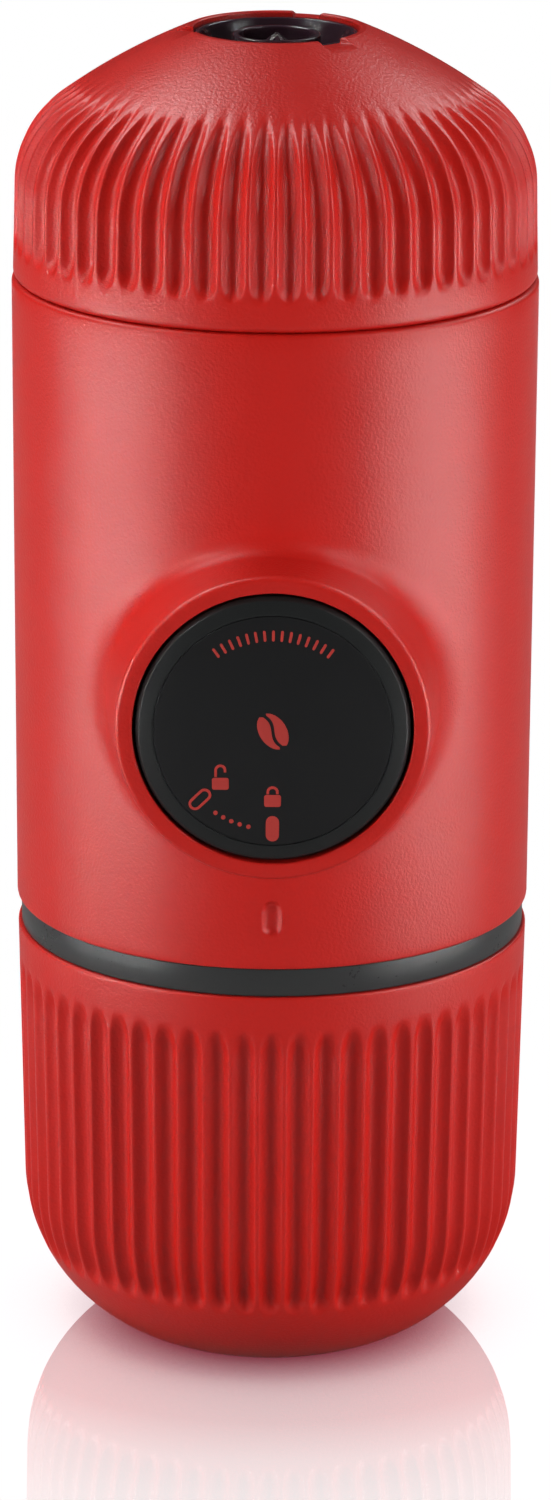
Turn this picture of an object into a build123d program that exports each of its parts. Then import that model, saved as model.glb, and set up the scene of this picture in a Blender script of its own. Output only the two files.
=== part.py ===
from build123d import *
from math import asin, cos, degrees, radians, sin, sqrt
import os

# A handheld, hand-pumped espresso maker that stands on its own cup.
#
# Millimetres. The Z axis runs up through the whole stack and Z = 0 is the table under the cup. The pump
# lies along Y, and its knob faces the front, -Y.

# ---- Clearances ---------------------------------------------------------------------------------------
flat_gap = 0.05  # between flat faces that part from each other or turn on each other
push_gap = 0.1  # round fixed pieces that are pushed into the body shell or the head shell
bore_gap = 0.05  # radial, round small fixed pieces in their holes
running_gap = 0.06  # radial, between a shaft and its bearing
seal_gap = 0.05  # radial, between a seal and the metal or plastic that slides in it
loose_gap = 0.3  # round pieces that lift out by hand
bowl_gap = 0.35  # between the tank's bowl and the cup's bowl

# ---- Cup ----------------------------------------------------------------------------------------------
cup_height = 50.25
cup_rim_r = 30.4
cup_waist_r = 29.8  # where the wall meets the rounded corner
cup_corner_r = 20.5
cup_corner_height = 18.8  # height of the corner's centre above the table
cup_wall = 1.8
cup_floor = 2.0
cup_rim_round = 0.6
cup_flute_bottom = 12.4
cup_flute_top = 43.2

# ---- Flutes, the same on the cup and on the head --------------------------------------------------------
flute_count = 60
flute_width = 2.4  # at the surface
flute_floor_width = 1.0
flute_depth = 0.75
flute_runout_r = 4.0  # the ends of a flute climb out along this radius
flute_runout_angle = 36.0

# ---- Water tank -----------------------------------------------------------------------------------------
ring_r = 30.0  # the collar that shows between the cup and the body
ring_height = 3.4
tank_wall = 1.8
tank_floor_gap = 0.4  # between the tank's floor and the cup's
neck_r = 25.4
neck_wall = 1.8
neck_height = 7.3
tank_seal_thickness = 1.4

# ---- Body shell -----------------------------------------------------------------------------------------
body_height = 75.2
body_r = 30.7  # at the top edge
body_draft = 0.2  # the lower edge is this much smaller in radius
shell_wall = 2.2
body_edge_chamfer = 0.6
mark_length = 4.1
mark_width = 2.1
mark_depth = 0.5
mark_rise = 6.3  # centre of the mark above the body's lower edge

# ---- Knob and its boss ----------------------------------------------------------------------------------
knob_rise = 31.5  # knob axis above the body's lower edge
knob_front = 39.2  # distance of the knob's face from the Z axis
knob_r = 15.55
knob_bevel = 1.1
knob_wall = 1.7
knob_depth = 25.2  # from the face to the back of the skirt
knob_face_r = 13.5
knob_face_thickness = 0.8
knob_front_wall = 2.0
hub_r = 7.5
hub_length = 9.0  # from the recess of the face to the back of the hub
boss_gap = 0.35  # between the knob and the boss
boss_front = 38.6  # distance of the boss's rim from the Z axis
boss_rim_r = 17.75
boss_root_r = 21.4  # inside the body, boss_root_y ahead of the Z axis
boss_root_y = 20.0
boss_rim_round = 0.75
boss_root_fillet = 2.5
lug_count = 3
lug_height = 1.15
lug_length = 3.0
lug_angle = 10.0  # width of a lug round the knob
lug_centre_angle = 67.5  # of one lug when the knob is locked, from +X towards +Z
lug_play = 1.0  # degrees, each side of a lug
slot_gap = 0.25  # radial, outside the lugs
unlock_angle = 45.0

# ---- Pump -----------------------------------------------------------------------------------------------
stroke = 20.0
bore_r = 8.0
barrel_wall = 2.0
bore_end = 17.2  # distance of the bore's closed end behind the Z axis
barrel_end_wall = 2.0
port_y = 14.6
port_r = 1.1
port_boss_r = 3.7
valve_room_r = 2.7
piston_length = 5.0
piston_face_gap = 0.4  # left in front of the ports' far side when the piston is home
seal_groove_length = 1.8
seal_groove_depth = 1.5
stop_gap = 0.2  # between the piston and the gland at the end of the stroke
rod_r = 4.5
journal_r = 3.6
journal_end_play = 0.15
gland_thickness = 4.0
gland_spigot = 3.0
rod_seal_thickness = 1.9
rod_seal_width = 2.1
spring_flange_y = 10.0  # front face of the flange, ahead of the Z axis
spring_flange_thickness = 1.6
spring_wire_r = 0.7
spring_coil_gap = 1.1  # between the barrel and the coil
spring_turns = 6
retainer_head_r = 6.0
retainer_head_thickness = 1.6
retainer_shank_r = 1.5
retainer_shank_length = 8.0

# ---- Chassis and pump frame -----------------------------------------------------------------------------
plate_thickness = 3.0
pipe_r = 2.0
pipe_bore_r = 1.2
pipe_bottom = 6.0
inlet_valve_flange_r = 2.5
inlet_valve_height = 3.6
vent_y = -14.0
vent_disc_r = 3.0
vent_disc_thickness = 0.8
vent_stem_r = 0.9
frame_wall = 2.5
frame_length = 15.0
frame_centre_y = 0.5
frame_gap = 0.3  # between the barrel and the frame's sides
foot_width = 7.0
foot_thickness = 2.5
window_margin = 2.6
screw_spacing = 8.0
screw_r = 1.2
screw_head_r = 2.4
screw_head_height = 1.5
screw_bite = 2.2  # depth of thread in the plate
ball_r = 2.4
bush_length = 3.4
valve_wire_r = 0.25
valve_coil_r = 1.6
valve_turns = 3

# ---- Brew head ------------------------------------------------------------------------------------------
brew_depth = 20.95  # from the body's top edge down to the underside of the brew head
collar_drop = 1.45  # the collar stops this far below the body's top edge
platform_r = 20.0
platform_height = 3.0
spread_r = 17.0
spread_depth = 0.8
screen_screw_r = 1.5
screen_screw_length = 5.2
screen_screw_head_r = 3.0
screen_screw_head_height = 1.0
screen_boss_r = 4.0
shower_gasket_height = 2.5
screen_thickness = 0.6
screen_overlap = 0.5  # the screen's edge lies this far inside the platform's
screen_hole_r = 0.8
screen_hole_rings = ((6, 7.0), (12, 13.0))  # number of holes, ring radius

# ---- Scoop and filter basket -----------------------------------------------------------------------------
basket_height = 17.2
basket_bore_r = 21.5
basket_wall = 1.0
basket_flange_r = 23.9
basket_flange_height = 1.2
basket_top = 1.6
basket_outlet_r = 17.0
scoop_height = 14.2
scoop_wall = 1.2
scoop_edge_round = 1.2
basket_screen_thickness = 0.4
head_gasket_thickness = 1.55
head_gasket_bore_r = 19.0

# ---- Head -----------------------------------------------------------------------------------------------
head_height = 29.0
head_base_r = 30.55
head_waist_r = 30.3
head_waist_rise = 10.8  # where the wall meets the rounded shoulder
shoulder_r = 12.0
shoulder_angle = 60.0
lip_r = 10.3
opening_r = 9.6
head_edge_round = 0.9
head_flute_bottom = 4.9  # above the head's lower edge
notch_count = 3
notch_angle = 24.0
notch_depth = 0.9
notch_outer_r = 11.6
notch_centre_angle = -51.0  # of one notch, from +X
liner_wall = 2.0
liner_flange_rise = 0.6  # underside of the liner's flange above the head's lower edge
liner_rim_drop = 0.6  # the liner's rim below the lip
liner_rim_width = 0.6
bowl_floor_r = 7.4
bowl_depth = 5.0
nozzle_r = 5.1
nozzle_wall = 0.7
nozzle_drop = 0.7  # the nozzle's top below the lip
nozzle_seat_depth = 6.4  # below the bowl's floor
passage_r = 4.0
leg_count = 10
leg_width = 0.45
leg_height = 1.0
leg_rise = 3.6
nozzle_valve_thickness = 2.4

# ---- Levels and radii that follow ----------------------------------------------------------------------
cup_lean = (cup_rim_r - cup_waist_r) / (cup_height - cup_corner_height)  # outward step per unit of height
ring_bottom = cup_height + flat_gap
ring_top = ring_bottom + ring_height
neck_top = ring_top + neck_height
body_bottom = ring_top + flat_gap
body_top = body_bottom + body_height
head_bottom = body_top + flat_gap
head_top = head_bottom + head_height
knob_z = body_bottom + knob_rise
shell_inner_r = body_r - body_draft - shell_wall
plate_bottom = neck_top + tank_seal_thickness + 2 * flat_gap
plate_top = plate_bottom + plate_thickness
brew_bottom = body_top - brew_depth
brew_top = brew_bottom + plate_thickness
platform_top = brew_top + platform_height
gasket_top = brew_top + shower_gasket_height
basket_bottom = gasket_top + loose_gap
basket_end = basket_bottom + basket_height
ceiling = basket_end + head_gasket_thickness + 2 * flat_gap
skirt_inner_r = basket_flange_r + loose_gap
skirt_outer_r = skirt_inner_r + liner_wall
collar_inner_r = skirt_outer_r + loose_gap
fitted_r = shell_inner_r - push_gap
barrel_r = bore_r + barrel_wall
piston_face = port_y - port_r - piston_face_gap
piston_front = piston_face - piston_length
spigot_end = piston_front - stroke - stop_gap
barrel_front = spigot_end - gland_spigot
hub_front = -knob_front + knob_face_thickness
hub_back = hub_front + hub_length
skirt_back = -knob_front + knob_depth
bowl_floor = head_top - liner_rim_drop - bowl_depth
nozzle_seat = bowl_floor - nozzle_seat_depth

knob_axis = Axis((0, 0, knob_z), (0, -1, 0))
knob_plane = Plane.XY.offset(knob_z)  # a profile drawn here at X > 0 revolves round the knob's axis

os.makedirs("parts", exist_ok=True)


def bowl_outline(inset, floor, top):
    """Half outline of the cup's bowl, moved inwards by inset and cut off at floor and top."""
    corner_r = cup_corner_r - inset
    reach = degrees(asin((cup_corner_height - floor) / corner_r))
    top_r = cup_waist_r - inset + cup_lean * (top - cup_corner_height)
    corner = CenterArc((cup_waist_r - cup_corner_r, cup_corner_height), corner_r, -reach, reach)
    Polyline(corner @ 1, (top_r, top), (0, top), (0, floor), corner @ 0)


def head_outline(inset):
    """Half outline of the head's dome, moved inwards by inset and closed along the axis."""
    waist = head_bottom + head_waist_rise
    round_r = shoulder_r - inset
    shoulder = CenterArc((head_waist_r - shoulder_r, waist), round_r, 0, shoulder_angle)
    slope = radians(shoulder_angle)
    lip = (lip_r - inset * cos(slope), head_top - inset * sin(slope))
    cone = TangentArc(shoulder @ 1, lip, tangent=(-sin(slope), cos(slope)))
    base = (head_base_r - inset, head_bottom)
    Polyline(cone @ 1, (0, lip[1]), (0, head_bottom), base, shoulder @ 0)


def flute_section(start, direction):
    """Section of the cutter for one flute, drawn across the start of its path."""
    with BuildSketch(Plane(origin=start, x_dir=(0, 1, 0), z_dir=direction)) as section:
        outwards = 1 if direction.Z < 0 else -1
        mouth_width = 2 * flute_width - flute_floor_width  # one flute depth outside the surface
        Polygon(
            (-mouth_width / 2, outwards * flute_depth),
            (mouth_width / 2, outwards * flute_depth),
            (flute_floor_width / 2, -outwards * flute_depth),
            (-flute_floor_width / 2, -outwards * flute_depth),
            align=None,
        )
    return section.sketch


# ---- Cup ------------------------------------------------------------------------------------------------
cup_corner_centre = (cup_waist_r - cup_corner_r, cup_corner_height)
cup_flute_turn = degrees(asin((cup_corner_height - cup_flute_bottom) / cup_corner_r))

with BuildPart() as cup_flute:
    with BuildLine(Plane.XZ) as cup_flute_path:
        wall_foot = (cup_waist_r, cup_corner_height)
        wall_top = (cup_waist_r + cup_lean * (cup_flute_top - cup_corner_height), cup_flute_top)
        JernArc(wall_top, (cup_lean, 1), flute_runout_r, -flute_runout_angle)
        Line(wall_top, wall_foot)
        corner = CenterArc(cup_corner_centre, cup_corner_r, 0, -cup_flute_turn)
        JernArc(corner @ 1, corner % 1, flute_runout_r, flute_runout_angle)
    add(flute_section(cup_flute_path.wire() @ 0, cup_flute_path.wire() % 0))
    sweep(path=cup_flute_path.wire())

with BuildPart() as cup:
    with BuildSketch(Plane.XZ):
        with BuildLine():
            bowl_outline(0, 0, cup_height)
        make_face()
        with BuildLine():
            bowl_outline(cup_wall, cup_floor, cup_height)
        make_face(mode=Mode.SUBTRACT)
    revolve(axis=Axis.Z)
    fillet(cup.edges().group_by(Axis.Z)[-1], cup_rim_round)
    with PolarLocations(0, flute_count):
        add(cup_flute.part, mode=Mode.SUBTRACT)
cup.part.label = "cup"
export_step(cup.part, "parts/cup.step")

# ---- Water tank -----------------------------------------------------------------------------------------
tank_inset = cup_wall + bowl_gap
tank_floor = cup_floor + tank_floor_gap

with BuildPart() as water_tank:
    with BuildSketch(Plane.XZ):
        with BuildLine():
            bowl_outline(tank_inset, tank_floor, ring_bottom)
        make_face()
    revolve(axis=Axis.Z)
    with BuildSketch(Plane.XY.offset(ring_bottom)):
        Circle(ring_r)
    extrude(amount=ring_height)
    with BuildSketch(Plane.XY.offset(ring_top)):
        Circle(neck_r)
    extrude(amount=neck_height)
    with BuildSketch(Plane.XZ):
        with BuildLine():
            bowl_outline(tank_inset + tank_wall, tank_floor + tank_wall, ring_top - tank_wall)
        make_face()
    revolve(axis=Axis.Z, mode=Mode.SUBTRACT)
    with BuildSketch(Plane.XY.offset(neck_top)):
        Circle(neck_r - neck_wall)
    extrude(amount=-(neck_height + tank_wall), mode=Mode.SUBTRACT)
water_tank.part.label = "water_tank"
export_step(water_tank.part, "parts/water_tank.step")

with BuildPart() as tank_seal:
    with BuildSketch(Plane.XY.offset(neck_top + flat_gap)):
        Circle(neck_r)
        Circle(neck_r - neck_wall, mode=Mode.SUBTRACT)
    extrude(amount=tank_seal_thickness)
tank_seal.part.label = "tank_seal"
export_step(tank_seal.part, "parts/tank_seal.step")

# ---- Body shell -----------------------------------------------------------------------------------------
slot_r = knob_r + lug_height + slot_gap
slot_angle = lug_angle + unlock_angle + 2 * lug_play
slot_front = boss_front - 1.6


def sectors(count, centre_angle, width, reach):
    """Evenly spaced wedges with their points on the axis, drawn in the current sketch."""
    side = (reach * cos(radians(width / 2)), reach * sin(radians(width / 2)))
    with PolarLocations(0, count, start_angle=centre_angle):
        Polygon((0, 0), (side[0], -side[1]), side, align=None)


with BuildPart() as body_shell:
    with BuildSketch(Plane.XZ):
        Polygon(
            (0, body_bottom),
            (body_r - body_draft, body_bottom),
            (body_r, body_top),
            (0, body_top),
            align=None,
        )
    revolve(axis=Axis.Z)
    chamfer(body_shell.edges().group_by(Axis.Z)[-1], body_edge_chamfer)
    with BuildSketch(knob_plane):
        with BuildLine():
            Polyline(
                (0, -boss_root_y),
                (boss_root_r, -boss_root_y),
                (boss_rim_r, -boss_front),
                (0, -boss_front),
                close=True,
            )
        make_face()
    revolve(axis=knob_axis)
    boss_rim = body_shell.edges().group_by(Axis.Y)[0]
    fillet(boss_rim, boss_rim_round)
    boss_cone = body_shell.faces().filter_by(GeomType.CONE).sort_by(Axis.Y)[0]
    boss_root = boss_cone.edges().filter_by(GeomType.BSPLINE)
    fillet(boss_root, boss_root_fillet)
    with BuildSketch(Plane.XY.offset(body_bottom)):
        Circle(shell_inner_r)
    extrude(amount=body_height, mode=Mode.SUBTRACT)
    with BuildSketch(Plane.XZ):
        with Locations((0, knob_z)):
            Circle(knob_r + boss_gap)
    extrude(amount=boss_front, mode=Mode.SUBTRACT)
    with BuildSketch(Plane((0, 0, knob_z), x_dir=(1, 0, 0), z_dir=(0, -1, 0))):
        sectors(lug_count, lug_centre_angle + unlock_angle / 2, slot_angle, 2 * slot_r)
        Circle(slot_r, mode=Mode.INTERSECT)
    extrude(amount=slot_front, mode=Mode.SUBTRACT)
    with BuildSketch(Plane.XZ.offset(body_r)):
        with Locations((0, body_bottom + mark_rise)):
            SlotOverall(mark_length, mark_width, rotation=90)
    extrude(amount=-(mark_depth + body_draft), mode=Mode.SUBTRACT)
body_shell.part.label = "body_shell"
export_step(body_shell.part, "parts/body_shell.step")

# ---- Lower chassis, inlet pipe and valves ---------------------------------------------------------------
frame_side_r = barrel_r + frame_gap
screw_x = frame_side_r + frame_wall + foot_width / 2
screw_points = [
    (side * screw_x, frame_centre_y + step * screw_spacing / 2) for side in (-1, 1) for step in (-1, 1)
]
pilot_r = screw_r + bore_gap

with BuildPart() as lower_chassis:
    with BuildSketch(Plane.XY.offset(body_bottom)):
        Circle(fitted_r)
    extrude(amount=plate_top - body_bottom)
    with BuildSketch(Plane.XY.offset(body_bottom)):
        Circle(neck_r + loose_gap)
    extrude(amount=plate_bottom - body_bottom, mode=Mode.SUBTRACT)
    with BuildSketch(Plane.XY.offset(plate_bottom)):
        with Locations((0, port_y)):
            Circle(pipe_r + bore_gap)
        with Locations((0, vent_y)):
            Circle(vent_stem_r + bore_gap)
    extrude(amount=plate_thickness, mode=Mode.SUBTRACT)
    with BuildSketch(Plane.XY.offset(plate_top)):
        with Locations(*screw_points):
            Circle(pilot_r)
    extrude(amount=-screw_bite - flat_gap, mode=Mode.SUBTRACT)
lower_chassis.part.label = "lower_chassis"
export_step(lower_chassis.part, "parts/lower_chassis.step")

with BuildPart() as inlet_pipe:
    with BuildSketch(Plane.XY.offset(pipe_bottom)):
        with Locations((0, port_y)):
            Circle(pipe_r)
            Circle(pipe_bore_r, mode=Mode.SUBTRACT)
    extrude(amount=plate_top - pipe_bottom)
inlet_pipe.part.label = "inlet_pipe"
export_step(inlet_pipe.part, "parts/inlet_pipe.step")

with BuildPart() as inlet_valve:
    with BuildSketch(Plane.XY.offset(plate_top)):
        with Locations((0, port_y)):
            Circle(inlet_valve_flange_r)
            Circle(pipe_bore_r, mode=Mode.SUBTRACT)
    extrude(amount=inlet_valve_height / 4)
    with BuildSketch(Plane.XY.offset(plate_top + inlet_valve_height / 4)):
        with Locations((0, port_y)):
            Circle(pipe_r)
            Circle(pipe_bore_r, mode=Mode.SUBTRACT)
    extrude(amount=inlet_valve_height * 3 / 4, taper=10)
inlet_valve.part.label = "inlet_valve"
export_step(inlet_valve.part, "parts/inlet_valve.step")

with BuildPart() as air_vent_valve:
    with BuildSketch(Plane.XY.offset(plate_bottom)):
        with Locations((0, vent_y)):
            Circle(vent_disc_r)
    extrude(amount=-vent_disc_thickness)
    with BuildSketch(Plane.XY.offset(plate_bottom)):
        with Locations((0, vent_y)):
            Circle(vent_stem_r)
    extrude(amount=plate_thickness)
    with BuildSketch(Plane.XY.offset(plate_top)):
        with Locations((0, vent_y)):
            Circle(vent_disc_r / 2)
    extrude(amount=vent_disc_thickness)
air_vent_valve.part.label = "air_vent_valve"
export_step(air_vent_valve.part, "parts/air_vent_valve.step")

# ---- Pump frame and its screws --------------------------------------------------------------------------
frame_height = brew_bottom - plate_top

with BuildPart() as pump_frame:
    with BuildSketch(Plane.YZ.offset(frame_side_r)):
        with Locations((frame_centre_y, plate_top + frame_height / 2)):
            RectangleRounded(frame_length, frame_height, foot_thickness / 2)
        for beam_z in (plate_top + frame_height / 8, brew_bottom - frame_height / 8):
            with Locations((frame_centre_y, beam_z)):
                SlotOverall(frame_length - 2 * window_margin, frame_height / 12, mode=Mode.SUBTRACT)
    extrude(amount=frame_wall)
    with BuildSketch(Plane.XY.offset(plate_top)):
        with Locations((frame_side_r + (frame_wall + foot_width) / 2, frame_centre_y)):
            Rectangle(frame_wall + foot_width, frame_length)
        with Locations(*screw_points[2:]):
            Circle(pilot_r, mode=Mode.SUBTRACT)
    extrude(amount=foot_thickness)
    with BuildSketch(Plane.XY.offset(brew_bottom)):
        with Locations((frame_side_r + (frame_wall + foot_width) / 2, frame_centre_y)):
            Rectangle(frame_wall + foot_width, frame_length)
        with Locations(*screw_points[2:]):
            Circle(pilot_r, mode=Mode.SUBTRACT)
    extrude(amount=-foot_thickness)
    mirror(about=Plane.YZ)
    for side in (-1, 1):
        with BuildSketch(Plane.XY.offset(knob_z + side * (barrel_r + flat_gap))):
            with Locations((0, frame_centre_y)):
                Rectangle(2 * frame_side_r, frame_length)
        extrude(amount=side * frame_wall)
pump_frame.part.label = "pump_frame"
export_step(pump_frame.part, "parts/pump_frame.step")

with BuildPart() as frame_screws:
    for foot_z, outwards in ((plate_top + foot_thickness, 1), (brew_bottom - foot_thickness, -1)):
        with BuildSketch(Plane.XY.offset(foot_z)):
            with Locations(*screw_points):
                Circle(screw_head_r)
        extrude(amount=outwards * screw_head_height)
        with BuildSketch(Plane.XY.offset(foot_z)):
            with Locations(*screw_points):
                Circle(screw_r)
        extrude(amount=-outwards * (foot_thickness + screw_bite))
frame_screws.part.label = "frame_screws"
export_step(frame_screws.part, "parts/frame_screws.step")

# ---- Pump cylinder, gland and seals ---------------------------------------------------------------------
valve_seat = knob_z + barrel_r + port_r
inlet_room_top = plate_top + inlet_valve_height + port_r

with BuildPart() as pump_cylinder:
    with BuildSketch(knob_plane):
        Polygon(
            (0, barrel_front),
            (barrel_r, barrel_front),
            (barrel_r, bore_end + barrel_end_wall),
            (0, bore_end + barrel_end_wall),
            align=None,
        )
    revolve(axis=knob_axis)
    with BuildSketch(knob_plane):
        with Locations((barrel_r / 2, -spring_flange_y + spring_flange_thickness / 2)):
            Rectangle(barrel_r, spring_flange_thickness)
        with Locations((barrel_r + spring_coil_gap, -spring_flange_y + spring_flange_thickness / 2)):
            Rectangle(2 * spring_coil_gap + 2 * spring_wire_r, spring_flange_thickness)
    revolve(axis=knob_axis)
    with BuildSketch(Plane.XY.offset(plate_top)):
        with Locations((0, port_y)):
            Circle(port_boss_r)
    extrude(amount=brew_bottom - plate_top)
    with BuildSketch(knob_plane):
        Polygon((0, barrel_front), (bore_r, barrel_front), (bore_r, bore_end), (0, bore_end), align=None)
    revolve(axis=knob_axis, mode=Mode.SUBTRACT)
    with BuildSketch(Plane.XY.offset(plate_top)):
        with Locations((0, port_y)):
            Circle(port_r)
    extrude(amount=brew_bottom - plate_top, mode=Mode.SUBTRACT)
    with BuildSketch(Plane.XY.offset(plate_top)):
        with Locations((0, port_y)):
            Circle(valve_room_r)
    extrude(amount=inlet_room_top - plate_top, mode=Mode.SUBTRACT)
    with BuildSketch(Plane.XY.offset(valve_seat)):
        with Locations((0, port_y)):
            Circle(valve_room_r)
    extrude(amount=brew_bottom - valve_seat, mode=Mode.SUBTRACT)
pump_cylinder.part.label = "pump_cylinder"
export_step(pump_cylinder.part, "parts/pump_cylinder.step")

rod_seal_room_r = rod_r + seal_gap + rod_seal_width + bore_gap
gland_front = barrel_front - gland_thickness
rod_seal_room_front = barrel_front - rod_seal_thickness - 2 * flat_gap

with BuildPart() as cylinder_gland:
    with BuildSketch(knob_plane):
        Polygon(
            (rod_r + running_gap, gland_front),
            (barrel_r, gland_front),
            (barrel_r, barrel_front),
            (bore_r - bore_gap, barrel_front),
            (bore_r - bore_gap, spigot_end),
            (rod_seal_room_r, spigot_end),
            (rod_seal_room_r, rod_seal_room_front),
            (rod_r + running_gap, rod_seal_room_front),
            align=None,
        )
    revolve(axis=knob_axis)
cylinder_gland.part.label = "cylinder_gland"
export_step(cylinder_gland.part, "parts/cylinder_gland.step")

with BuildPart() as rod_seal:
    with BuildSketch(knob_plane):
        seal_middle = barrel_front - flat_gap - rod_seal_thickness / 2
        with Locations((rod_r + seal_gap + rod_seal_width / 2, seal_middle)):
            Rectangle(rod_seal_width, rod_seal_thickness)
    revolve(axis=knob_axis)
rod_seal.part.label = "rod_seal"
export_step(rod_seal.part, "parts/rod_seal.step")

# ---- Piston and its spring ------------------------------------------------------------------------------
piston_r = bore_r - running_gap
groove_middle = piston_front + piston_length / 2
counterbore_floor = hub_front + knob_front_wall + retainer_head_thickness
journal_front = counterbore_floor - journal_end_play
shoulder = hub_back + journal_end_play

with BuildPart() as piston_rod:
    with BuildSketch(knob_plane):
        Polygon(
            (0, journal_front),
            (journal_r, journal_front),
            (journal_r, shoulder),
            (rod_r, shoulder),
            (rod_r, piston_front),
            (piston_r, piston_front),
            (piston_r, piston_face),
            (0, piston_face),
            align=None,
        )
        with Locations((piston_r, groove_middle)):
            Rectangle(2 * seal_groove_depth, seal_groove_length, mode=Mode.SUBTRACT)
        with Locations((0, journal_front + retainer_shank_length / 2)):
            Rectangle(2 * (retainer_shank_r + bore_gap), retainer_shank_length + flat_gap, mode=Mode.SUBTRACT)
    revolve(axis=knob_axis)
piston_rod.part.label = "piston_rod"
export_step(piston_rod.part, "parts/piston_rod.step")

with BuildPart() as piston_seal:
    with BuildSketch(knob_plane):
        seal_width = seal_groove_depth + running_gap - seal_gap - bore_gap
        with Locations((bore_r - seal_gap - seal_width / 2, groove_middle)):
            Rectangle(seal_width, seal_groove_length - 2 * flat_gap)
    revolve(axis=knob_axis)
piston_seal.part.label = "piston_seal"
export_step(piston_seal.part, "parts/piston_seal.step")

with BuildPart() as knob_retainer:
    with BuildSketch(knob_plane):
        with Locations((retainer_head_r / 2, journal_front - retainer_head_thickness / 2)):
            Rectangle(retainer_head_r, retainer_head_thickness)
        with Locations((retainer_shank_r / 2, journal_front + retainer_shank_length / 2)):
            Rectangle(retainer_shank_r, retainer_shank_length)
    revolve(axis=knob_axis)
knob_retainer.part.label = "knob_retainer"
export_step(knob_retainer.part, "parts/knob_retainer.step")

spring_coil_r = barrel_r + spring_coil_gap + spring_wire_r
spring_front = hub_front + knob_front_wall + flat_gap + spring_wire_r
spring_back = -spring_flange_y - flat_gap - spring_wire_r

with BuildPart() as return_spring:
    with BuildLine() as spring_path:
        length = spring_back - spring_front
        first_coil = (0, spring_front, knob_z)
        Helix(length / spring_turns, length, spring_coil_r, center=first_coil, direction=(0, 1, 0))
    with BuildSketch(Plane(origin=spring_path.wire() @ 0, z_dir=spring_path.wire() % 0)):
        Circle(spring_wire_r)
    sweep(path=spring_path.wire(), is_frenet=True)
return_spring.part.label = "return_spring"
export_step(return_spring.part, "parts/return_spring.step")

# ---- Knob -----------------------------------------------------------------------------------------------
skirt_inner = knob_r - knob_wall

with BuildPart() as knob_cap:
    with BuildSketch(knob_plane):
        Polygon(
            (0, -knob_front),
            (knob_r - knob_bevel, -knob_front),
            (knob_r, -knob_front + knob_bevel),
            (knob_r, skirt_back),
            (skirt_inner, skirt_back),
            (skirt_inner, hub_front + knob_front_wall),
            (hub_r, hub_front + knob_front_wall),
            (hub_r, hub_back),
            (0, hub_back),
            align=None,
        )
    revolve(axis=knob_axis)
    with BuildSketch(knob_plane):
        Polygon(
            (0, -knob_front),
            (knob_face_r + bore_gap, -knob_front),
            (knob_face_r + bore_gap, hub_front),
            (retainer_head_r + loose_gap, hub_front),
            (retainer_head_r + loose_gap, counterbore_floor),
            (journal_r + running_gap, counterbore_floor),
            (journal_r + running_gap, hub_back),
            (0, hub_back),
            align=None,
        )
    revolve(axis=knob_axis, mode=Mode.SUBTRACT)
    with BuildSketch(Plane((0, skirt_back, knob_z), x_dir=(1, 0, 0), z_dir=(0, -1, 0))):
        sectors(lug_count, lug_centre_angle, lug_angle, 2 * knob_r)
        Circle(knob_r + lug_height, mode=Mode.INTERSECT)
        Circle(knob_r - knob_wall / 2, mode=Mode.SUBTRACT)
    extrude(amount=lug_length)
knob_cap.part.label = "knob_cap"
export_step(knob_cap.part, "parts/knob_cap.step")

with BuildPart() as knob_face:
    with BuildSketch(Plane((0, -knob_front, knob_z), x_dir=(1, 0, 0), z_dir=(0, 1, 0))):
        Circle(knob_face_r)
    extrude(amount=knob_face_thickness)
knob_face.part.label = "knob_face"
export_step(knob_face.part, "parts/knob_face.step")

# ---- Outlet valve ---------------------------------------------------------------------------------------
ball_centre = valve_seat + sqrt(ball_r**2 - port_r**2) + flat_gap / 2
bush_bottom = brew_bottom - bush_length

with BuildPart() as outlet_valve_ball:
    with Locations((0, port_y, ball_centre)):
        Sphere(ball_r)
outlet_valve_ball.part.label = "outlet_valve_ball"
export_step(outlet_valve_ball.part, "parts/outlet_valve_ball.step")

with BuildPart() as outlet_bush:
    with BuildSketch(Plane.XY.offset(bush_bottom)):
        with Locations((0, port_y)):
            Circle(valve_room_r - bore_gap)
            Circle(port_r, mode=Mode.SUBTRACT)
    extrude(amount=bush_length)
outlet_bush.part.label = "outlet_bush"
export_step(outlet_bush.part, "parts/outlet_bush.step")

valve_spring_start = ball_centre + sqrt((ball_r + valve_wire_r + bore_gap) ** 2 - valve_coil_r**2)
valve_spring_end = bush_bottom - valve_wire_r - flat_gap

with BuildPart() as outlet_valve_spring:
    with BuildLine() as valve_spring_path:
        length = valve_spring_end - valve_spring_start
        Helix(length / valve_turns, length, valve_coil_r, center=(0, port_y, valve_spring_start))
    with BuildSketch(Plane(origin=valve_spring_path.wire() @ 0, z_dir=valve_spring_path.wire() % 0)):
        Circle(valve_wire_r)
    sweep(path=valve_spring_path.wire(), is_frenet=True)
outlet_valve_spring.part.label = "outlet_valve_spring"
export_step(outlet_valve_spring.part, "parts/outlet_valve_spring.step")

# ---- Brew head ------------------------------------------------------------------------------------------
collar_top = body_top - collar_drop
screen_pilot = screen_screw_r + bore_gap

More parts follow.
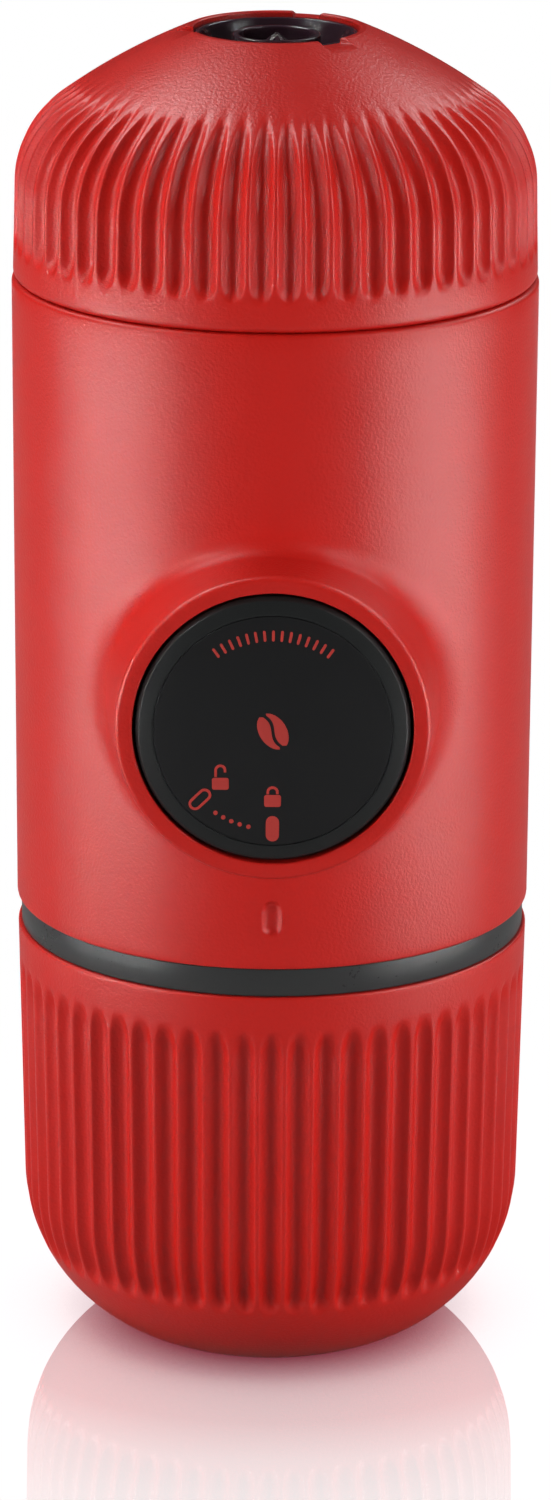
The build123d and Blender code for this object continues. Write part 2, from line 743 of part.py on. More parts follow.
with BuildPart() as brew_head:
    with BuildSketch(Plane.XZ):
        Polygon(
            (0, brew_bottom),
            (fitted_r, brew_bottom),
            (fitted_r, collar_top),
            (collar_inner_r, collar_top),
            (collar_inner_r, brew_top),
            (platform_r, brew_top),
            (platform_r, platform_top),
            (spread_r, platform_top),
            (spread_r, platform_top - spread_depth),
            (screen_boss_r, platform_top - spread_depth),
            (screen_boss_r, platform_top),
            (screen_pilot, platform_top),
            (screen_pilot, platform_top - screen_screw_length),
            (0, platform_top - screen_screw_length),
            align=None,
        )
    revolve(axis=Axis.Z)
    with BuildSketch(Plane.XY.offset(brew_bottom)):
        with Locations((0, port_y)):
            Circle(port_r)
    extrude(amount=platform_top - brew_bottom, mode=Mode.SUBTRACT)
    with BuildSketch(Plane.XY.offset(brew_bottom)):
        with Locations(*screw_points):
            Circle(pilot_r)
    extrude(amount=screw_bite + flat_gap, mode=Mode.SUBTRACT)
brew_head.part.label = "brew_head"
export_step(brew_head.part, "parts/brew_head.step")

with BuildPart() as shower_gasket:
    with BuildSketch(Plane.XY.offset(brew_top)):
        Circle(basket_flange_r)
        Circle(platform_r + bore_gap, mode=Mode.SUBTRACT)
    extrude(amount=shower_gasket_height)
shower_gasket.part.label = "shower_gasket"
export_step(shower_gasket.part, "parts/shower_gasket.step")

with BuildPart() as shower_screen:
    with BuildSketch(Plane.XY.offset(platform_top)):
        Circle(platform_r - screen_overlap)
        Circle(screen_pilot, mode=Mode.SUBTRACT)
        for holes, ring in screen_hole_rings:
            with PolarLocations(ring, holes):
                Circle(screen_hole_r, mode=Mode.SUBTRACT)
    extrude(amount=screen_thickness)
shower_screen.part.label = "shower_screen"
export_step(shower_screen.part, "parts/shower_screen.step")

with BuildPart() as screen_screw:
    with BuildSketch(Plane.XY.offset(platform_top + screen_thickness)):
        Circle(screen_screw_head_r)
    extrude(amount=screen_screw_head_height)
    with BuildSketch(Plane.XY.offset(platform_top + screen_thickness)):
        Circle(screen_screw_r)
    extrude(amount=-screen_screw_length)
screen_screw.part.label = "screen_screw"
export_step(screen_screw.part, "parts/screen_screw.step")

# ---- Scoop and filter basket, both mouth down -----------------------------------------------------------
scoop_r = basket_bore_r - loose_gap

with BuildPart() as scoop:
    with BuildSketch(Plane.XY.offset(basket_bottom)):
        Circle(scoop_r)
    extrude(amount=scoop_height)
    fillet(scoop.edges().group_by(Axis.Z)[-1], scoop_edge_round)
    with BuildSketch(Plane.XY.offset(basket_bottom)):
        Circle(scoop_r - scoop_wall)
    extrude(amount=scoop_height - scoop_wall, mode=Mode.SUBTRACT)
scoop.part.label = "scoop"
export_step(scoop.part, "parts/scoop.step")

with BuildPart() as filter_basket:
    with BuildSketch(Plane.XZ):
        Polygon(
            (basket_bore_r, basket_bottom),
            (basket_flange_r, basket_bottom),
            (basket_flange_r, basket_bottom + basket_flange_height),
            (basket_bore_r + basket_wall, basket_bottom + basket_flange_height),
            (basket_bore_r + basket_wall, basket_end),
            (basket_outlet_r, basket_end),
            (basket_outlet_r, basket_end - basket_top),
            (basket_bore_r, basket_end - basket_top),
            align=None,
        )
    revolve(axis=Axis.Z)
filter_basket.part.label = "filter_basket"
export_step(filter_basket.part, "parts/filter_basket.step")

with BuildPart() as basket_screen:
    with BuildSketch(Plane.XY.offset(basket_end - basket_top)):
        Circle(basket_bore_r - bore_gap)
        for holes, ring in screen_hole_rings:
            with PolarLocations(ring, holes):
                Circle(screen_hole_r, mode=Mode.SUBTRACT)
    extrude(amount=-basket_screen_thickness)
basket_screen.part.label = "basket_screen"
export_step(basket_screen.part, "parts/basket_screen.step")

with BuildPart() as head_gasket:
    with BuildSketch(Plane.XY.offset(basket_end + flat_gap)):
        Circle(basket_bore_r + basket_wall)
        Circle(head_gasket_bore_r, mode=Mode.SUBTRACT)
    extrude(amount=head_gasket_thickness)
head_gasket.part.label = "head_gasket"
export_step(head_gasket.part, "parts/head_gasket.step")

# ---- Head liner, nozzle and its valve -------------------------------------------------------------------
liner_flange = head_bottom + liner_flange_rise
liner_flange_r = head_waist_r - shell_wall - push_gap
tower_r = opening_r - bore_gap
liner_rim = head_top - liner_rim_drop
skirt_bottom = basket_bottom + basket_flange_height

with BuildPart() as head_liner:
    with BuildSketch(Plane.XZ):
        Polygon(
            (skirt_inner_r, skirt_bottom),
            (skirt_outer_r, skirt_bottom),
            (skirt_outer_r, liner_flange),
            (liner_flange_r, liner_flange),
            (liner_flange_r, ceiling + liner_wall),
            (tower_r, ceiling + liner_wall),
            (tower_r, liner_rim),
            (tower_r - liner_rim_width, liner_rim),
            (bowl_floor_r, bowl_floor),
            (nozzle_r + bore_gap, bowl_floor),
            (nozzle_r + bore_gap, nozzle_seat),
            (passage_r, nozzle_seat),
            (passage_r, ceiling),
            (skirt_inner_r, ceiling),
            align=None,
        )
    revolve(axis=Axis.Z)
head_liner.part.label = "head_liner"
export_step(head_liner.part, "parts/head_liner.step")

nozzle_top = head_top - nozzle_drop
leg_foot = nozzle_top - leg_rise

with BuildPart() as nozzle_leg:
    with BuildSketch(Plane.XZ):
        Polygon(
            (0, nozzle_top - leg_height),
            (nozzle_r - nozzle_wall / 2, leg_foot - leg_height),
            (nozzle_r - nozzle_wall / 2, leg_foot),
            (0, nozzle_top),
            align=None,
        )
    extrude(amount=leg_width / 2, both=True)

with BuildPart() as nozzle:
    with BuildSketch(Plane.XY.offset(nozzle_seat)):
        Circle(nozzle_r)
        Circle(nozzle_r - nozzle_wall, mode=Mode.SUBTRACT)
    extrude(amount=nozzle_top - nozzle_seat)
    with PolarLocations(0, leg_count, start_angle=-90):
        add(nozzle_leg.part)
nozzle.part.label = "nozzle"
export_step(nozzle.part, "parts/nozzle.step")

with BuildPart() as nozzle_valve:
    with BuildSketch(Plane.XY.offset(nozzle_seat)):
        Circle(passage_r - bore_gap)
        Circle(port_r, mode=Mode.SUBTRACT)
    extrude(amount=-nozzle_valve_thickness)
nozzle_valve.part.label = "nozzle_valve"
export_step(nozzle_valve.part, "parts/nozzle_valve.step")

# ---- Head shell -----------------------------------------------------------------------------------------
waist = head_bottom + head_waist_rise
flute_start = head_bottom + head_flute_bottom

with BuildPart() as head_flute:
    with BuildLine(Plane.XZ) as head_flute_path:
        wall_top = (head_waist_r, waist)
        wall_foot = (head_waist_r, flute_start)
        JernArc(wall_foot, (0, -1), flute_runout_r, flute_runout_angle)
        Line(wall_foot, wall_top)
        shoulder_arc = CenterArc((head_waist_r - shoulder_r, waist), shoulder_r, 0, shoulder_angle)
        JernArc(shoulder_arc @ 1, shoulder_arc % 1, flute_runout_r, -flute_runout_angle / 2)
    add(flute_section(head_flute_path.wire() @ 0, head_flute_path.wire() % 0))
    sweep(path=head_flute_path.wire())

with BuildPart() as head_shell:
    with BuildSketch(Plane.XZ):
        with BuildLine():
            head_outline(0)
        make_face()
        with BuildLine():
            head_outline(shell_wall)
        make_face(mode=Mode.SUBTRACT)
    revolve(axis=Axis.Z)
    with BuildSketch(Plane.XY.offset(head_bottom)):
        Circle(opening_r)
    extrude(amount=head_height, mode=Mode.SUBTRACT)
    outer_edge = head_shell.edges().group_by(Axis.Z)[0].sort_by(SortBy.LENGTH)[-1]
    fillet(outer_edge, head_edge_round)
    with BuildSketch(Plane.XY.offset(head_top)):
        sectors(notch_count, notch_centre_angle, notch_angle, 2 * notch_outer_r)
        Circle(notch_outer_r, mode=Mode.INTERSECT)
    extrude(amount=-notch_depth, mode=Mode.SUBTRACT)
    with PolarLocations(0, flute_count, start_angle=180 / flute_count):
        add(head_flute.part, mode=Mode.SUBTRACT)
head_shell.part.label = "head_shell"
export_step(head_shell.part, "parts/head_shell.step")
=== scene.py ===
"""A handheld manual espresso maker: red fluted cup and head, smoked tank, pump knob and brew parts."""
import logging
import math
from dataclasses import dataclass
from enum import Enum
from functools import cache
from typing import Callable, Optional, Sequence, Union

import bmesh
import bpy
import numpy as np
from mathutils import Matrix, Quaternion, Vector


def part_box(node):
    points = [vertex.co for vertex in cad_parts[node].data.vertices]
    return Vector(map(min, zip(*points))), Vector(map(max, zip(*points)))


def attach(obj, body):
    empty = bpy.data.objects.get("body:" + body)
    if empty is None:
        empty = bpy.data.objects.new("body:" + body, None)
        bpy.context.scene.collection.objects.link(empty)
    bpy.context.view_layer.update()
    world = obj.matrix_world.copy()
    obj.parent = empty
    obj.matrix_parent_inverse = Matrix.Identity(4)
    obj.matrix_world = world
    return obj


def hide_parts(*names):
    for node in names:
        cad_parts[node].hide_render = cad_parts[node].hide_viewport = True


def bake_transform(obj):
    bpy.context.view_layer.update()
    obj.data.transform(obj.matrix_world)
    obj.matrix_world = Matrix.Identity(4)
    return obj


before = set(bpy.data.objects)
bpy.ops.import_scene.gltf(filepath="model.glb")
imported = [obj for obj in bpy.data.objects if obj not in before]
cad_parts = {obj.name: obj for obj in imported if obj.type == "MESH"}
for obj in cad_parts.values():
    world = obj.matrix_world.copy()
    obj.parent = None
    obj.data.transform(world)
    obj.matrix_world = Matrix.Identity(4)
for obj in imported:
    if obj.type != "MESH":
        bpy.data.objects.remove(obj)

logging.basicConfig(level=logging.INFO, format="%(message)s")
log = logging.getLogger("espresso_maker")

MM = 0.001
KNOB_HEIGHT = 85.25
ON_AXIS = 1e-6
Colour = tuple[float, float, float]
Corner = tuple[float, float, float]
Point = tuple[float, float, float]
Value = Union[float, int, tuple, bpy.types.NodeSocket]


class Line(Enum):
    """The line that a turned piece is turned round."""

    STACK = "up through the cup, the body and the head"
    KNOB = "forwards through the pump knob"


def place(points: np.ndarray, line: Line) -> np.ndarray:
    """Moves points drawn round the Z axis to the line that they belong to.

    Args:
        points: Three columns, in millimetres.
        line: The line to turn them to; on the knob's line, a height is the distance ahead of the stack.

    Returns:
        The points in the part's own frame, in millimetres.
    """
    if line is Line.STACK:
        return points
    return np.column_stack((points[:, 0], -points[:, 2], KNOB_HEIGHT + points[:, 1]))


def rounded(corners: Sequence[Corner], closed: bool = False, steps: int = 5) -> np.ndarray:
    """Rounds the corners of a line drawn across and along.

    Args:
        corners: (across, along, radius) of each corner in millimetres; a radius of 0 keeps it sharp.
        closed: Whether the last corner joins the first.
        steps: Segments in each rounded corner.

    Returns:
        The points of the rounded line, one row each.
    """
    points: list[np.ndarray] = []
    for index, (across, along, radius) in enumerate(corners):
        here = np.array((across, along), float)
        if radius <= 0 or (not closed and index in (0, len(corners) - 1)):
            points.append(here)
            continue
        before = np.array(corners[index - 1][:2]) - here
        after = np.array(corners[(index + 1) % len(corners)][:2]) - here
        room = 0.49 * min(np.linalg.norm(before), np.linalg.norm(after))
        before, after = before / np.linalg.norm(before), after / np.linalg.norm(after)
        half = math.acos(float(np.clip(before @ after, -1, 1))) / 2
        reach = min(radius / math.tan(half), room)
        arc_radius = reach * math.tan(half)
        middle = (before + after) / np.linalg.norm(before + after)
        centre = here + middle * arc_radius / math.sin(half)
        first, last = here + before * reach - centre, here + after * reach - centre
        whole = math.pi - 2 * half
        for share in np.linspace(0, 1, steps + 1):
            weight = math.sin((1 - share) * whole), math.sin(share * whole)
            points.append(centre + (weight[0] * first + weight[1] * last) / math.sin(whole))
    return np.array(points)


def level(across: np.ndarray, along: np.ndarray, height: float) -> np.ndarray:
    """Returns points at one height from their other two coordinates, in millimetres."""
    return np.column_stack((across, along, np.full(len(across), height)))


def round_ring(radius: float, height: float, azimuths: np.ndarray) -> np.ndarray:
    """Returns a level circle at azimuths in radians, or the one point that it shrinks to on the axis."""
    if radius < ON_AXIS:
        return np.array([[0.0, 0.0, height]])
    return level(radius * np.cos(azimuths), radius * np.sin(azimuths), height)


def linked(name: str, data: bpy.types.ID) -> bpy.types.Object:
    """Returns a new object of the scene that holds this mesh, light or camera."""
    made = bpy.data.objects.new(name, data)
    bpy.context.scene.collection.objects.link(made)
    return made


class Hull:
    """Collects rings of points and the faces between them, and makes one closed mesh of them."""

    def __init__(self) -> None:
        """Starts with no points."""
        self.blocks: list[np.ndarray] = []
        self.faces: list[Sequence[int]] = []
        self.size = 0

    def ring(self, points: np.ndarray) -> np.ndarray:
        """Adds points in millimetres and returns their numbers."""
        self.blocks.append(np.asarray(points, float))
        self.size += len(points)
        return np.arange(self.size - len(points), self.size)

    def bridge(self, first: np.ndarray, second: np.ndarray) -> None:
        """Closes the band between two rings.

        Args:
            first: One ring's point numbers.
            second: The other's: as many, or one point, or a whole number of times fewer.
        """
        if len(first) < len(second):
            first, second = second, first
        turned = np.roll(first, -1)
        if len(second) == 1:
            self.faces += np.column_stack((first, turned, np.full(len(first), second[0]))).tolist()
        elif len(first) == len(second):
            self.faces += np.column_stack((first, turned, np.roll(second, -1), second)).tolist()
        else:
            ratio = len(first) // len(second)
            for index, near in enumerate(second):
                fine = [first[(index * ratio + step) % len(first)] for step in range(ratio + 1)]
                self.faces.append([*fine, second[(index + 1) % len(second)], near])

    def bridges(self, rings: Sequence[np.ndarray], closed: bool = False) -> None:
        """Closes the bands between neighbouring rings, and from the last to the first if closed."""
        for first, second in zip(rings, rings[1:]):
            self.bridge(first, second)
        if closed:
            self.bridge(rings[-1], rings[0])

    def lid(self, ring: np.ndarray) -> None:
        """Closes a ring with one face."""
        self.faces.append(ring.tolist())

    def build(self, name: str, line: Line = Line.STACK, sharp: float = 38.0) -> bpy.types.Object:
        """Makes the mesh object.

        Args:
            name: The object's name.
            line: The line that the points were drawn round.
            sharp: Angle in degrees above which an edge stays crisp.

        Returns:
            The object, at the origin, in metres.
        """
        mesh = bpy.data.meshes.new(name)
        mesh.from_pydata((place(np.vstack(self.blocks), line) * MM).tolist(), [], self.faces)
        face_up(mesh, sharp)
        return linked(name, mesh)


def face_up(mesh: bpy.types.Mesh, sharp: float) -> None:
    """Turns a closed mesh's faces outwards and shades it smooth, but for edges above so many degrees."""
    work = bmesh.new()
    work.from_mesh(mesh)
    bmesh.ops.recalc_face_normals(work, faces=work.faces[:])
    work.to_mesh(mesh)
    work.free()
    mesh.polygons.foreach_set("use_smooth", [True] * len(mesh.polygons))
    mesh.set_sharp_from_angle(angle=math.radians(sharp))
    mesh.update()


def drop_loose(piece: bpy.types.Object) -> None:
    """Removes points that no face uses."""
    work = bmesh.new()
    work.from_mesh(piece.data)
    bmesh.ops.delete(work, geom=[v for v in work.verts if not v.link_faces], context="VERTS")
    work.to_mesh(piece.data)
    work.free()


def turned(
    name: str, profile: np.ndarray, columns: int, closed: bool = False, line: Line = Line.STACK, sharp: float = 38.0
) -> bpy.types.Object:
    """Makes a turned piece.

    Args:
        name: The object's name.
        profile: Radius and height of each point of the half section, in millimetres.
        columns: Segments round the piece.
        closed: Whether the section closes on itself, as a ring's does.
        line: The line it is turned round.
        sharp: Angle in degrees above which an edge stays crisp.

    Returns:
        The object.
    """
    azimuths = np.radians(np.arange(columns) * 360.0 / columns)
    hull = Hull()
    hull.bridges([hull.ring(round_ring(radius, height, azimuths)) for radius, height in profile], closed)
    return hull.build(name, line, sharp)


def joined(name: str, parts: Sequence[bpy.types.Object]) -> bpy.types.Object:
    """Puts the meshes of several objects, each at the origin, into one new object and removes them."""
    work = bmesh.new()
    for part in parts:
        work.from_mesh(part.data)
    mesh = bpy.data.meshes.new(name)
    work.to_mesh(mesh)
    work.free()
    for part in parts:
        bpy.data.objects.remove(part)
    return linked(name, mesh)


def blank(name: str) -> bpy.types.Object:
    """Returns an object with an empty mesh, for a rule that makes all of its shape itself."""
    return linked(name, bpy.data.meshes.new(name))


class Sheet:
    """Adds nodes to one tree and links them, so that a tree reads like the sums it holds."""

    def __init__(self, tree: bpy.types.NodeTree) -> None:
        """Starts on an empty tree."""
        self.tree = tree

    @classmethod
    def opened(cls, owner: Union[bpy.types.Material, bpy.types.World]) -> "Sheet":
        """Empties the tree of a material or a world and starts on it."""
        owner.use_nodes = True
        owner.node_tree.nodes.clear()
        return cls(owner.node_tree)

    def put(self, socket: bpy.types.NodeSocket, value: Value) -> None:
        """Links a socket to another, or sets it to a number or colour."""
        if isinstance(value, bpy.types.NodeSocket):
            self.tree.links.new(value, socket)
        else:
            socket.default_value = value

    def add(self, kind: str, inputs: Optional[dict] = None, **settings: object) -> bpy.types.Node:
        """Adds a node.

        Args:
            kind: The node's Blender type.
            inputs: Socket name or number to the value or socket that feeds it.
            **settings: The node's own properties.

        Returns:
            The node.
        """
        node = self.tree.nodes.new(kind)
        for key, value in settings.items():
            setattr(node, key, value)
        for key, value in (inputs or {}).items():
            self.put(node.inputs[key], value)
        return node

    def out(
        self, kind: str, inputs: Optional[dict] = None, output: Union[int, str] = 0, **settings: object
    ) -> bpy.types.NodeSocket:
        """Adds a node as add does, and returns one of its outputs."""
        return self.add(kind, inputs, **settings).outputs[output]

    def sum(self, operation: str, *terms: Value) -> bpy.types.NodeSocket:
        """Adds one Math node and returns its result."""
        return self.out("ShaderNodeMath", dict(enumerate(terms)), operation=operation)

    def times(self, first: Value, second: Value) -> bpy.types.NodeSocket:
        """Multiplies two numbers."""
        return self.sum("MULTIPLY", first, second)

    def ramp(self, value: Value, stops: Sequence[tuple[float, Colour]]) -> bpy.types.NodeSocket:
        """Turns a number into a colour, by the colours at two or more positions."""
        node = self.add("ShaderNodeValToRGB", {"Fac": value})
        for index, (spot, colour) in enumerate(stops):
            stop = node.color_ramp.elements[index] if index < 2 else node.color_ramp.elements.new(spot)
            stop.position, stop.color = spot, (*colour, 1.0)
        return node.outputs[0]

    def join(self, *parts: bpy.types.NodeSocket) -> bpy.types.NodeSocket:
        """Puts several geometries together."""
        node = self.add("GeometryNodeJoinGeometry")
        for part in parts:
            self.put(node.inputs[0], part)
        return node.outputs[0]

    def close(self, shader: bpy.types.NodeSocket, kind: str = "Material") -> None:
        """Feeds the finished shader to the output of a Material or a World."""
        self.add("ShaderNodeOutput" + kind, {"Surface": shader})


@dataclass(frozen=True)
class Plastic:
    """A moulded finish: a fine grain, and a faint mottle in colour and gloss.

    Attributes:
        name: The material's name.
        colour: Linear base colour.
        roughness: Mean roughness.
        grain: Size of the moulded grain in millimetres.
        depth: Depth of the grain in millimetres.
        mottle: Share by which the colour varies.
        gloss_spread: How far the roughness varies to each side.
        specular: Specular level.
        coat: Weight of a clear top layer.
        metallic: 1 for bare metal.
        stretch: Scale of the grain along X, Y and Z, for brushed surfaces.
        noise_span: The noise between which colour and gloss run from one end to the other.
    """

    name: str
    colour: Colour
    roughness: float
    grain: float = 0.3
    depth: float = 0.006
    mottle: float = 0.06
    gloss_spread: float = 0.04
    specular: float = 0.5
    coat: float = 0.0
    metallic: float = 0.0
    stretch: tuple[float, float, float] = (1.0, 1.0, 1.0)
    noise_span: tuple[float, float] = (0.3, 0.7)

    @cache
    def material(self) -> bpy.types.Material:
        """Returns the finish's material, made on first use."""
        made = bpy.data.materials.new(self.name)
        made.diffuse_color = (*self.colour, 1.0)
        sheet = Sheet.opened(made)
        where = sheet.out("ShaderNodeTexCoord", output="Object")
        placed = sheet.out("ShaderNodeMapping", {"Vector": where, "Scale": self.stretch})
        fine = sheet.out("ShaderNodeTexNoise", {"Vector": placed, "Scale": 1 / (self.grain * MM), "Detail": 3.0})
        broad = sheet.out("ShaderNodeTexNoise", {"Vector": where, "Scale": 180.0, "Detail": 4.0, "Roughness": 0.6})
        both = sheet.sum("ADD", sheet.times(fine, 0.5), sheet.times(broad, 0.5))
        start, end = self.noise_span
        dark, light = (tuple(min(1.0, c * k) for c in self.colour) for k in (1 - self.mottle, 1 + self.mottle))
        smooth, rough = self.roughness - self.gloss_spread, self.roughness + self.gloss_spread
        inputs = {
            "Base Color": sheet.ramp(both, ((start, dark), (end, light))),
            "Roughness": sheet.out("ShaderNodeMapRange", {"Value": both, 1: start, 2: end, 3: smooth, 4: rough}),
            "Normal": sheet.out("ShaderNodeBump", {"Height": fine, "Strength": 1.0, "Distance": self.depth * MM}),
            "Metallic": self.metallic,
            "Specular IOR Level": self.specular,
            "IOR": 1.5,
            "Coat Weight": self.coat,
            "Coat Roughness": 0.2,
        }
        sheet.close(sheet.out("ShaderNodeBsdfPrincipled", inputs))
        return made


RED_SHELL = Plastic("red_satin", (0.56, 0.0120, 0.0075), 0.37, grain=0.36, depth=0.065, mottle=0.05)
KNOB_BLACK = Plastic(
    "knob_black", (0.0130, 0.0140, 0.0140), 0.40, grain=0.22, depth=0.004, mottle=0.08, specular=0.36
)
FACE_BLACK = Plastic(
    "knob_face_black", (0.0085, 0.0085, 0.0090), 0.46, grain=0.16, depth=0.003, mottle=0.08, specular=0.36
)
FACE_PRINT = Plastic("knob_print_red", (0.44, 0.040, 0.032), 0.45, grain=0.12, depth=0.001, mottle=0.05)
LINER_GLOSS = Plastic(
    "outlet_gloss_black", (0.045, 0.020, 0.030), 0.16, grain=0.9, depth=0.002, mottle=0.1, gloss_spread=0.03
)
TANK_SMOKE = Plastic("smoked_tank", (0.031, 0.032, 0.032), 0.30, grain=0.5, depth=0.002, mottle=0.08)
INNER_GREY = Plastic("inner_grey", (0.052, 0.052, 0.056), 0.50, grain=0.3, depth=0.006, mottle=0.08)
BRIGHT_STEEL = Plastic(
    "brushed_steel", (0.60, 0.60, 0.61), 0.28, grain=0.12, depth=0.002, mottle=0.06, gloss_spread=0.06, metallic=1.0,
    stretch=(1.0, 0.08, 1.0),
)
SEAL_BLACK = Plastic("seal_rubber", (0.028, 0.028, 0.029), 0.62, grain=0.25, depth=0.006, mottle=0.1)
SILICONE = Plastic("grey_silicone", (0.50, 0.50, 0.48), 0.48, grain=0.5, depth=0.003, mottle=0.04, coat=0.15)


def dress(piece: bpy.types.Object, finish: Plastic) -> bpy.types.Object:
    """Gives a piece one finish in its only material slot and returns it."""
    piece.data.materials.clear()
    piece.data.materials.append(finish.material())
    return piece


def fit(piece: bpy.types.Object, body: str, slot: str, *nodes: str) -> bpy.types.Object:
    """Hangs a finished piece on its body.

    Args:
        piece: The piece, at the origin.
        body: The body it moves with.
        slot: The name of the record's material slot; not used.
        *nodes: The plain solids it stands for.

    Returns:
        The piece.
    """
    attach(piece, body)
    if nodes:
        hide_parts(*nodes)
    piece.data.calc_loop_triangles()
    log.info("%s: %d triangles on %s", piece.name, len(piece.data.loop_triangles), body)
    return piece


class Rule:
    """A Geometry Nodes tree with named inputs, which ends in Realize Instances and Set Material."""

    def __init__(self, name: str, inputs: dict[str, tuple[str, object]]) -> None:
        """Starts the tree.

        Args:
            name: The tree's name.
            inputs: Input name to its socket type, such as Float or Int, and its default.
        """
        self.tree = bpy.data.node_groups.new(name, "GeometryNodeTree")
        self.keys: dict[str, str] = {}
        face = self.tree.interface
        face.new_socket(name="Geometry", in_out="INPUT", socket_type="NodeSocketGeometry")
        for label, (kind, default) in inputs.items():
            socket = face.new_socket(name=label, in_out="INPUT", socket_type="NodeSocket" + kind)
            socket.default_value = default
            self.keys[label] = socket.identifier
        socket = face.new_socket(name="Finish", in_out="INPUT", socket_type="NodeSocketMaterial")
        self.keys["Finish"] = socket.identifier
        face.new_socket(name="Geometry", in_out="OUTPUT", socket_type="NodeSocketGeometry")
        self.sheet = Sheet(self.tree)
        self.given = self.sheet.add("NodeGroupInput").outputs

    def repeat(
        self, points: bpy.types.NodeSocket, item: bpy.types.NodeSocket, **turns: Value
    ) -> bpy.types.NodeSocket:
        """Puts an item on every point, turned by Rotation if that is given, as plain geometry."""
        copies = self.sheet.out("GeometryNodeInstanceOnPoints", {"Points": points, "Instance": item, **turns})
        return self.sheet.out("GeometryNodeRealizeInstances", {"Geometry": copies})

    def end(self, geometry: bpy.types.NodeSocket, **moves: Value) -> "Rule":
        """Closes the tree.

        Args:
            geometry: What the rule made.
            **moves: A Rotation and a Translation to give it first.

        Returns:
            The rule.
        """
        if moves:
            geometry = self.sheet.out("GeometryNodeTransform", {"Geometry": geometry, **moves})
        real = self.sheet.out("GeometryNodeRealizeInstances", {"Geometry": geometry})
        painted = self.sheet.out("GeometryNodeSetMaterial", {"Geometry": real, "Material": self.given["Finish"]})
        self.sheet.add("NodeGroupOutput", {0: painted})
        return self

    def apply(self, piece: bpy.types.Object, finish: Plastic, **values: object) -> bpy.types.Object:
        """Runs the rule on a piece and keeps the result as its plain mesh.

        Args:
            piece: The object whose mesh the rule starts from.
            finish: The finish it sets.
            **values: Input values, with _ for a space.

        Returns:
            The piece.
        """
        modifier = piece.modifiers.new(self.tree.name, "NODES")
        modifier.node_group = self.tree
        modifier[self.keys["Finish"]] = finish.material()
        for label, value in values.items():
            modifier[self.keys[label.replace("_", " ")]] = value
        graph = bpy.context.evaluated_depsgraph_get()
        mesh = bpy.data.meshes.new_from_object(piece.evaluated_get(graph))
        piece.modifiers.clear()
        piece.data = mesh
        mesh.name = piece.name
        return piece


def flute_rule() -> Rule:
    """Carves evenly spaced scallops into a turned shell, along lines that the shell's points carry.

    Each point holds flute_reach, its distance in metres past the straight part of a flute, and
    flute_out, the direction straight out of the shell.

    Returns:
        The rule.
    """
    inputs = {
        "Count": ("Int", 60),
        "Depth": ("Float", 0.75 * MM),
        "Share": ("Float", 0.8),
        "Run Out": ("Float", 4.0 * MM),
        "Turn": ("Float", 0.0),
        "Softness": ("Float", 0.13 * MM),
    }
    rule = Rule("carve_flutes", inputs)
    sheet, given = rule.sheet, rule.given
    spot = sheet.add("ShaderNodeSeparateXYZ", {0: sheet.out("GeometryNodeInputPosition")}).outputs
    azimuth = sheet.sum("SUBTRACT", sheet.sum("ARCTAN2", spot[1], spot[0]), given["Turn"])
    pitches = sheet.sum("DIVIDE", sheet.times(azimuth, given["Count"]), 2 * math.pi)
    across = sheet.sum("SUBTRACT", sheet.sum("FRACT", sheet.sum("ADD", pitches, 0.5)), 0.5)
    side = sheet.sum("DIVIDE", sheet.times(across, 2.0), given["Share"])
    hollow = sheet.times(given["Depth"], sheet.sum("SUBTRACT", 1.0, sheet.times(side, side)))
    past = sheet.out("GeometryNodeInputNamedAttribute", {"Name": "flute_reach"}, data_type="FLOAT")
    climb = sheet.sum("DIVIDE", sheet.times(past, past), sheet.times(given["Run Out"], 2.0))
    depth = sheet.sum("SUBTRACT", hollow, climb)
    soft = sheet.times(given["Softness"], given["Softness"])
    root = sheet.sum("SQRT", sheet.sum("ADD", sheet.times(depth, depth), soft))
    deep = sheet.times(sheet.sum("ADD", depth, root), -0.5)
    way = sheet.out("GeometryNodeInputNamedAttribute", {"Name": "flute_out"}, data_type="FLOAT_VECTOR")
    offset = sheet.out("ShaderNodeVectorMath", {0: way, "Scale": deep}, operation="SCALE")
    return rule.end(sheet.out("GeometryNodeSetPosition", {"Geometry": given["Geometry"], "Offset": offset}))


def round_rule() -> Rule:
    """Repeats one item round an axis."""
    inputs = {
        "Count": ("Int", 6),
        "Step": ("Float", 1.0),
        "Tilt": ("Vector", (0, 0, 0)),
        "Centre": ("Vector", (0, 0, 0)),
    }
    rule = Rule("repeat_round", inputs)
    sheet, given = rule.sheet, rule.given
    marks = sheet.out("GeometryNodeMeshLine", {"Count": given["Count"], "Offset": (0.0, 0.0, 0.0)})
    angle = sheet.times(sheet.out("GeometryNodeInputIndex"), given["Step"])
    whole = rule.repeat(marks, given["Geometry"], Rotation=sheet.out("ShaderNodeCombineXYZ", {2: angle}))
    return rule.end(whole, Rotation=given["Tilt"], Translation=given["Centre"])


def grid_rule() -> Rule:
    """Repeats one item at the points of a level grid."""
    inputs = {
        "Columns": ("Int", 2),
        "Rows": ("Int", 2),
        "Width": ("Float", 0.03),
        "Length": ("Float", 0.01),
        "Centre": ("Vector", (0, 0, 0)),
    }
    rule = Rule("repeat_grid", inputs)
    given = rule.given
    size = {"Size X": given["Width"], "Size Y": given["Length"]}
    marks = rule.sheet.out(
        "GeometryNodeMeshGrid", {**size, "Vertices X": given["Columns"], "Vertices Y": given["Rows"]}
    )
    return rule.end(rule.repeat(marks, given["Geometry"]), Translation=given["Centre"])


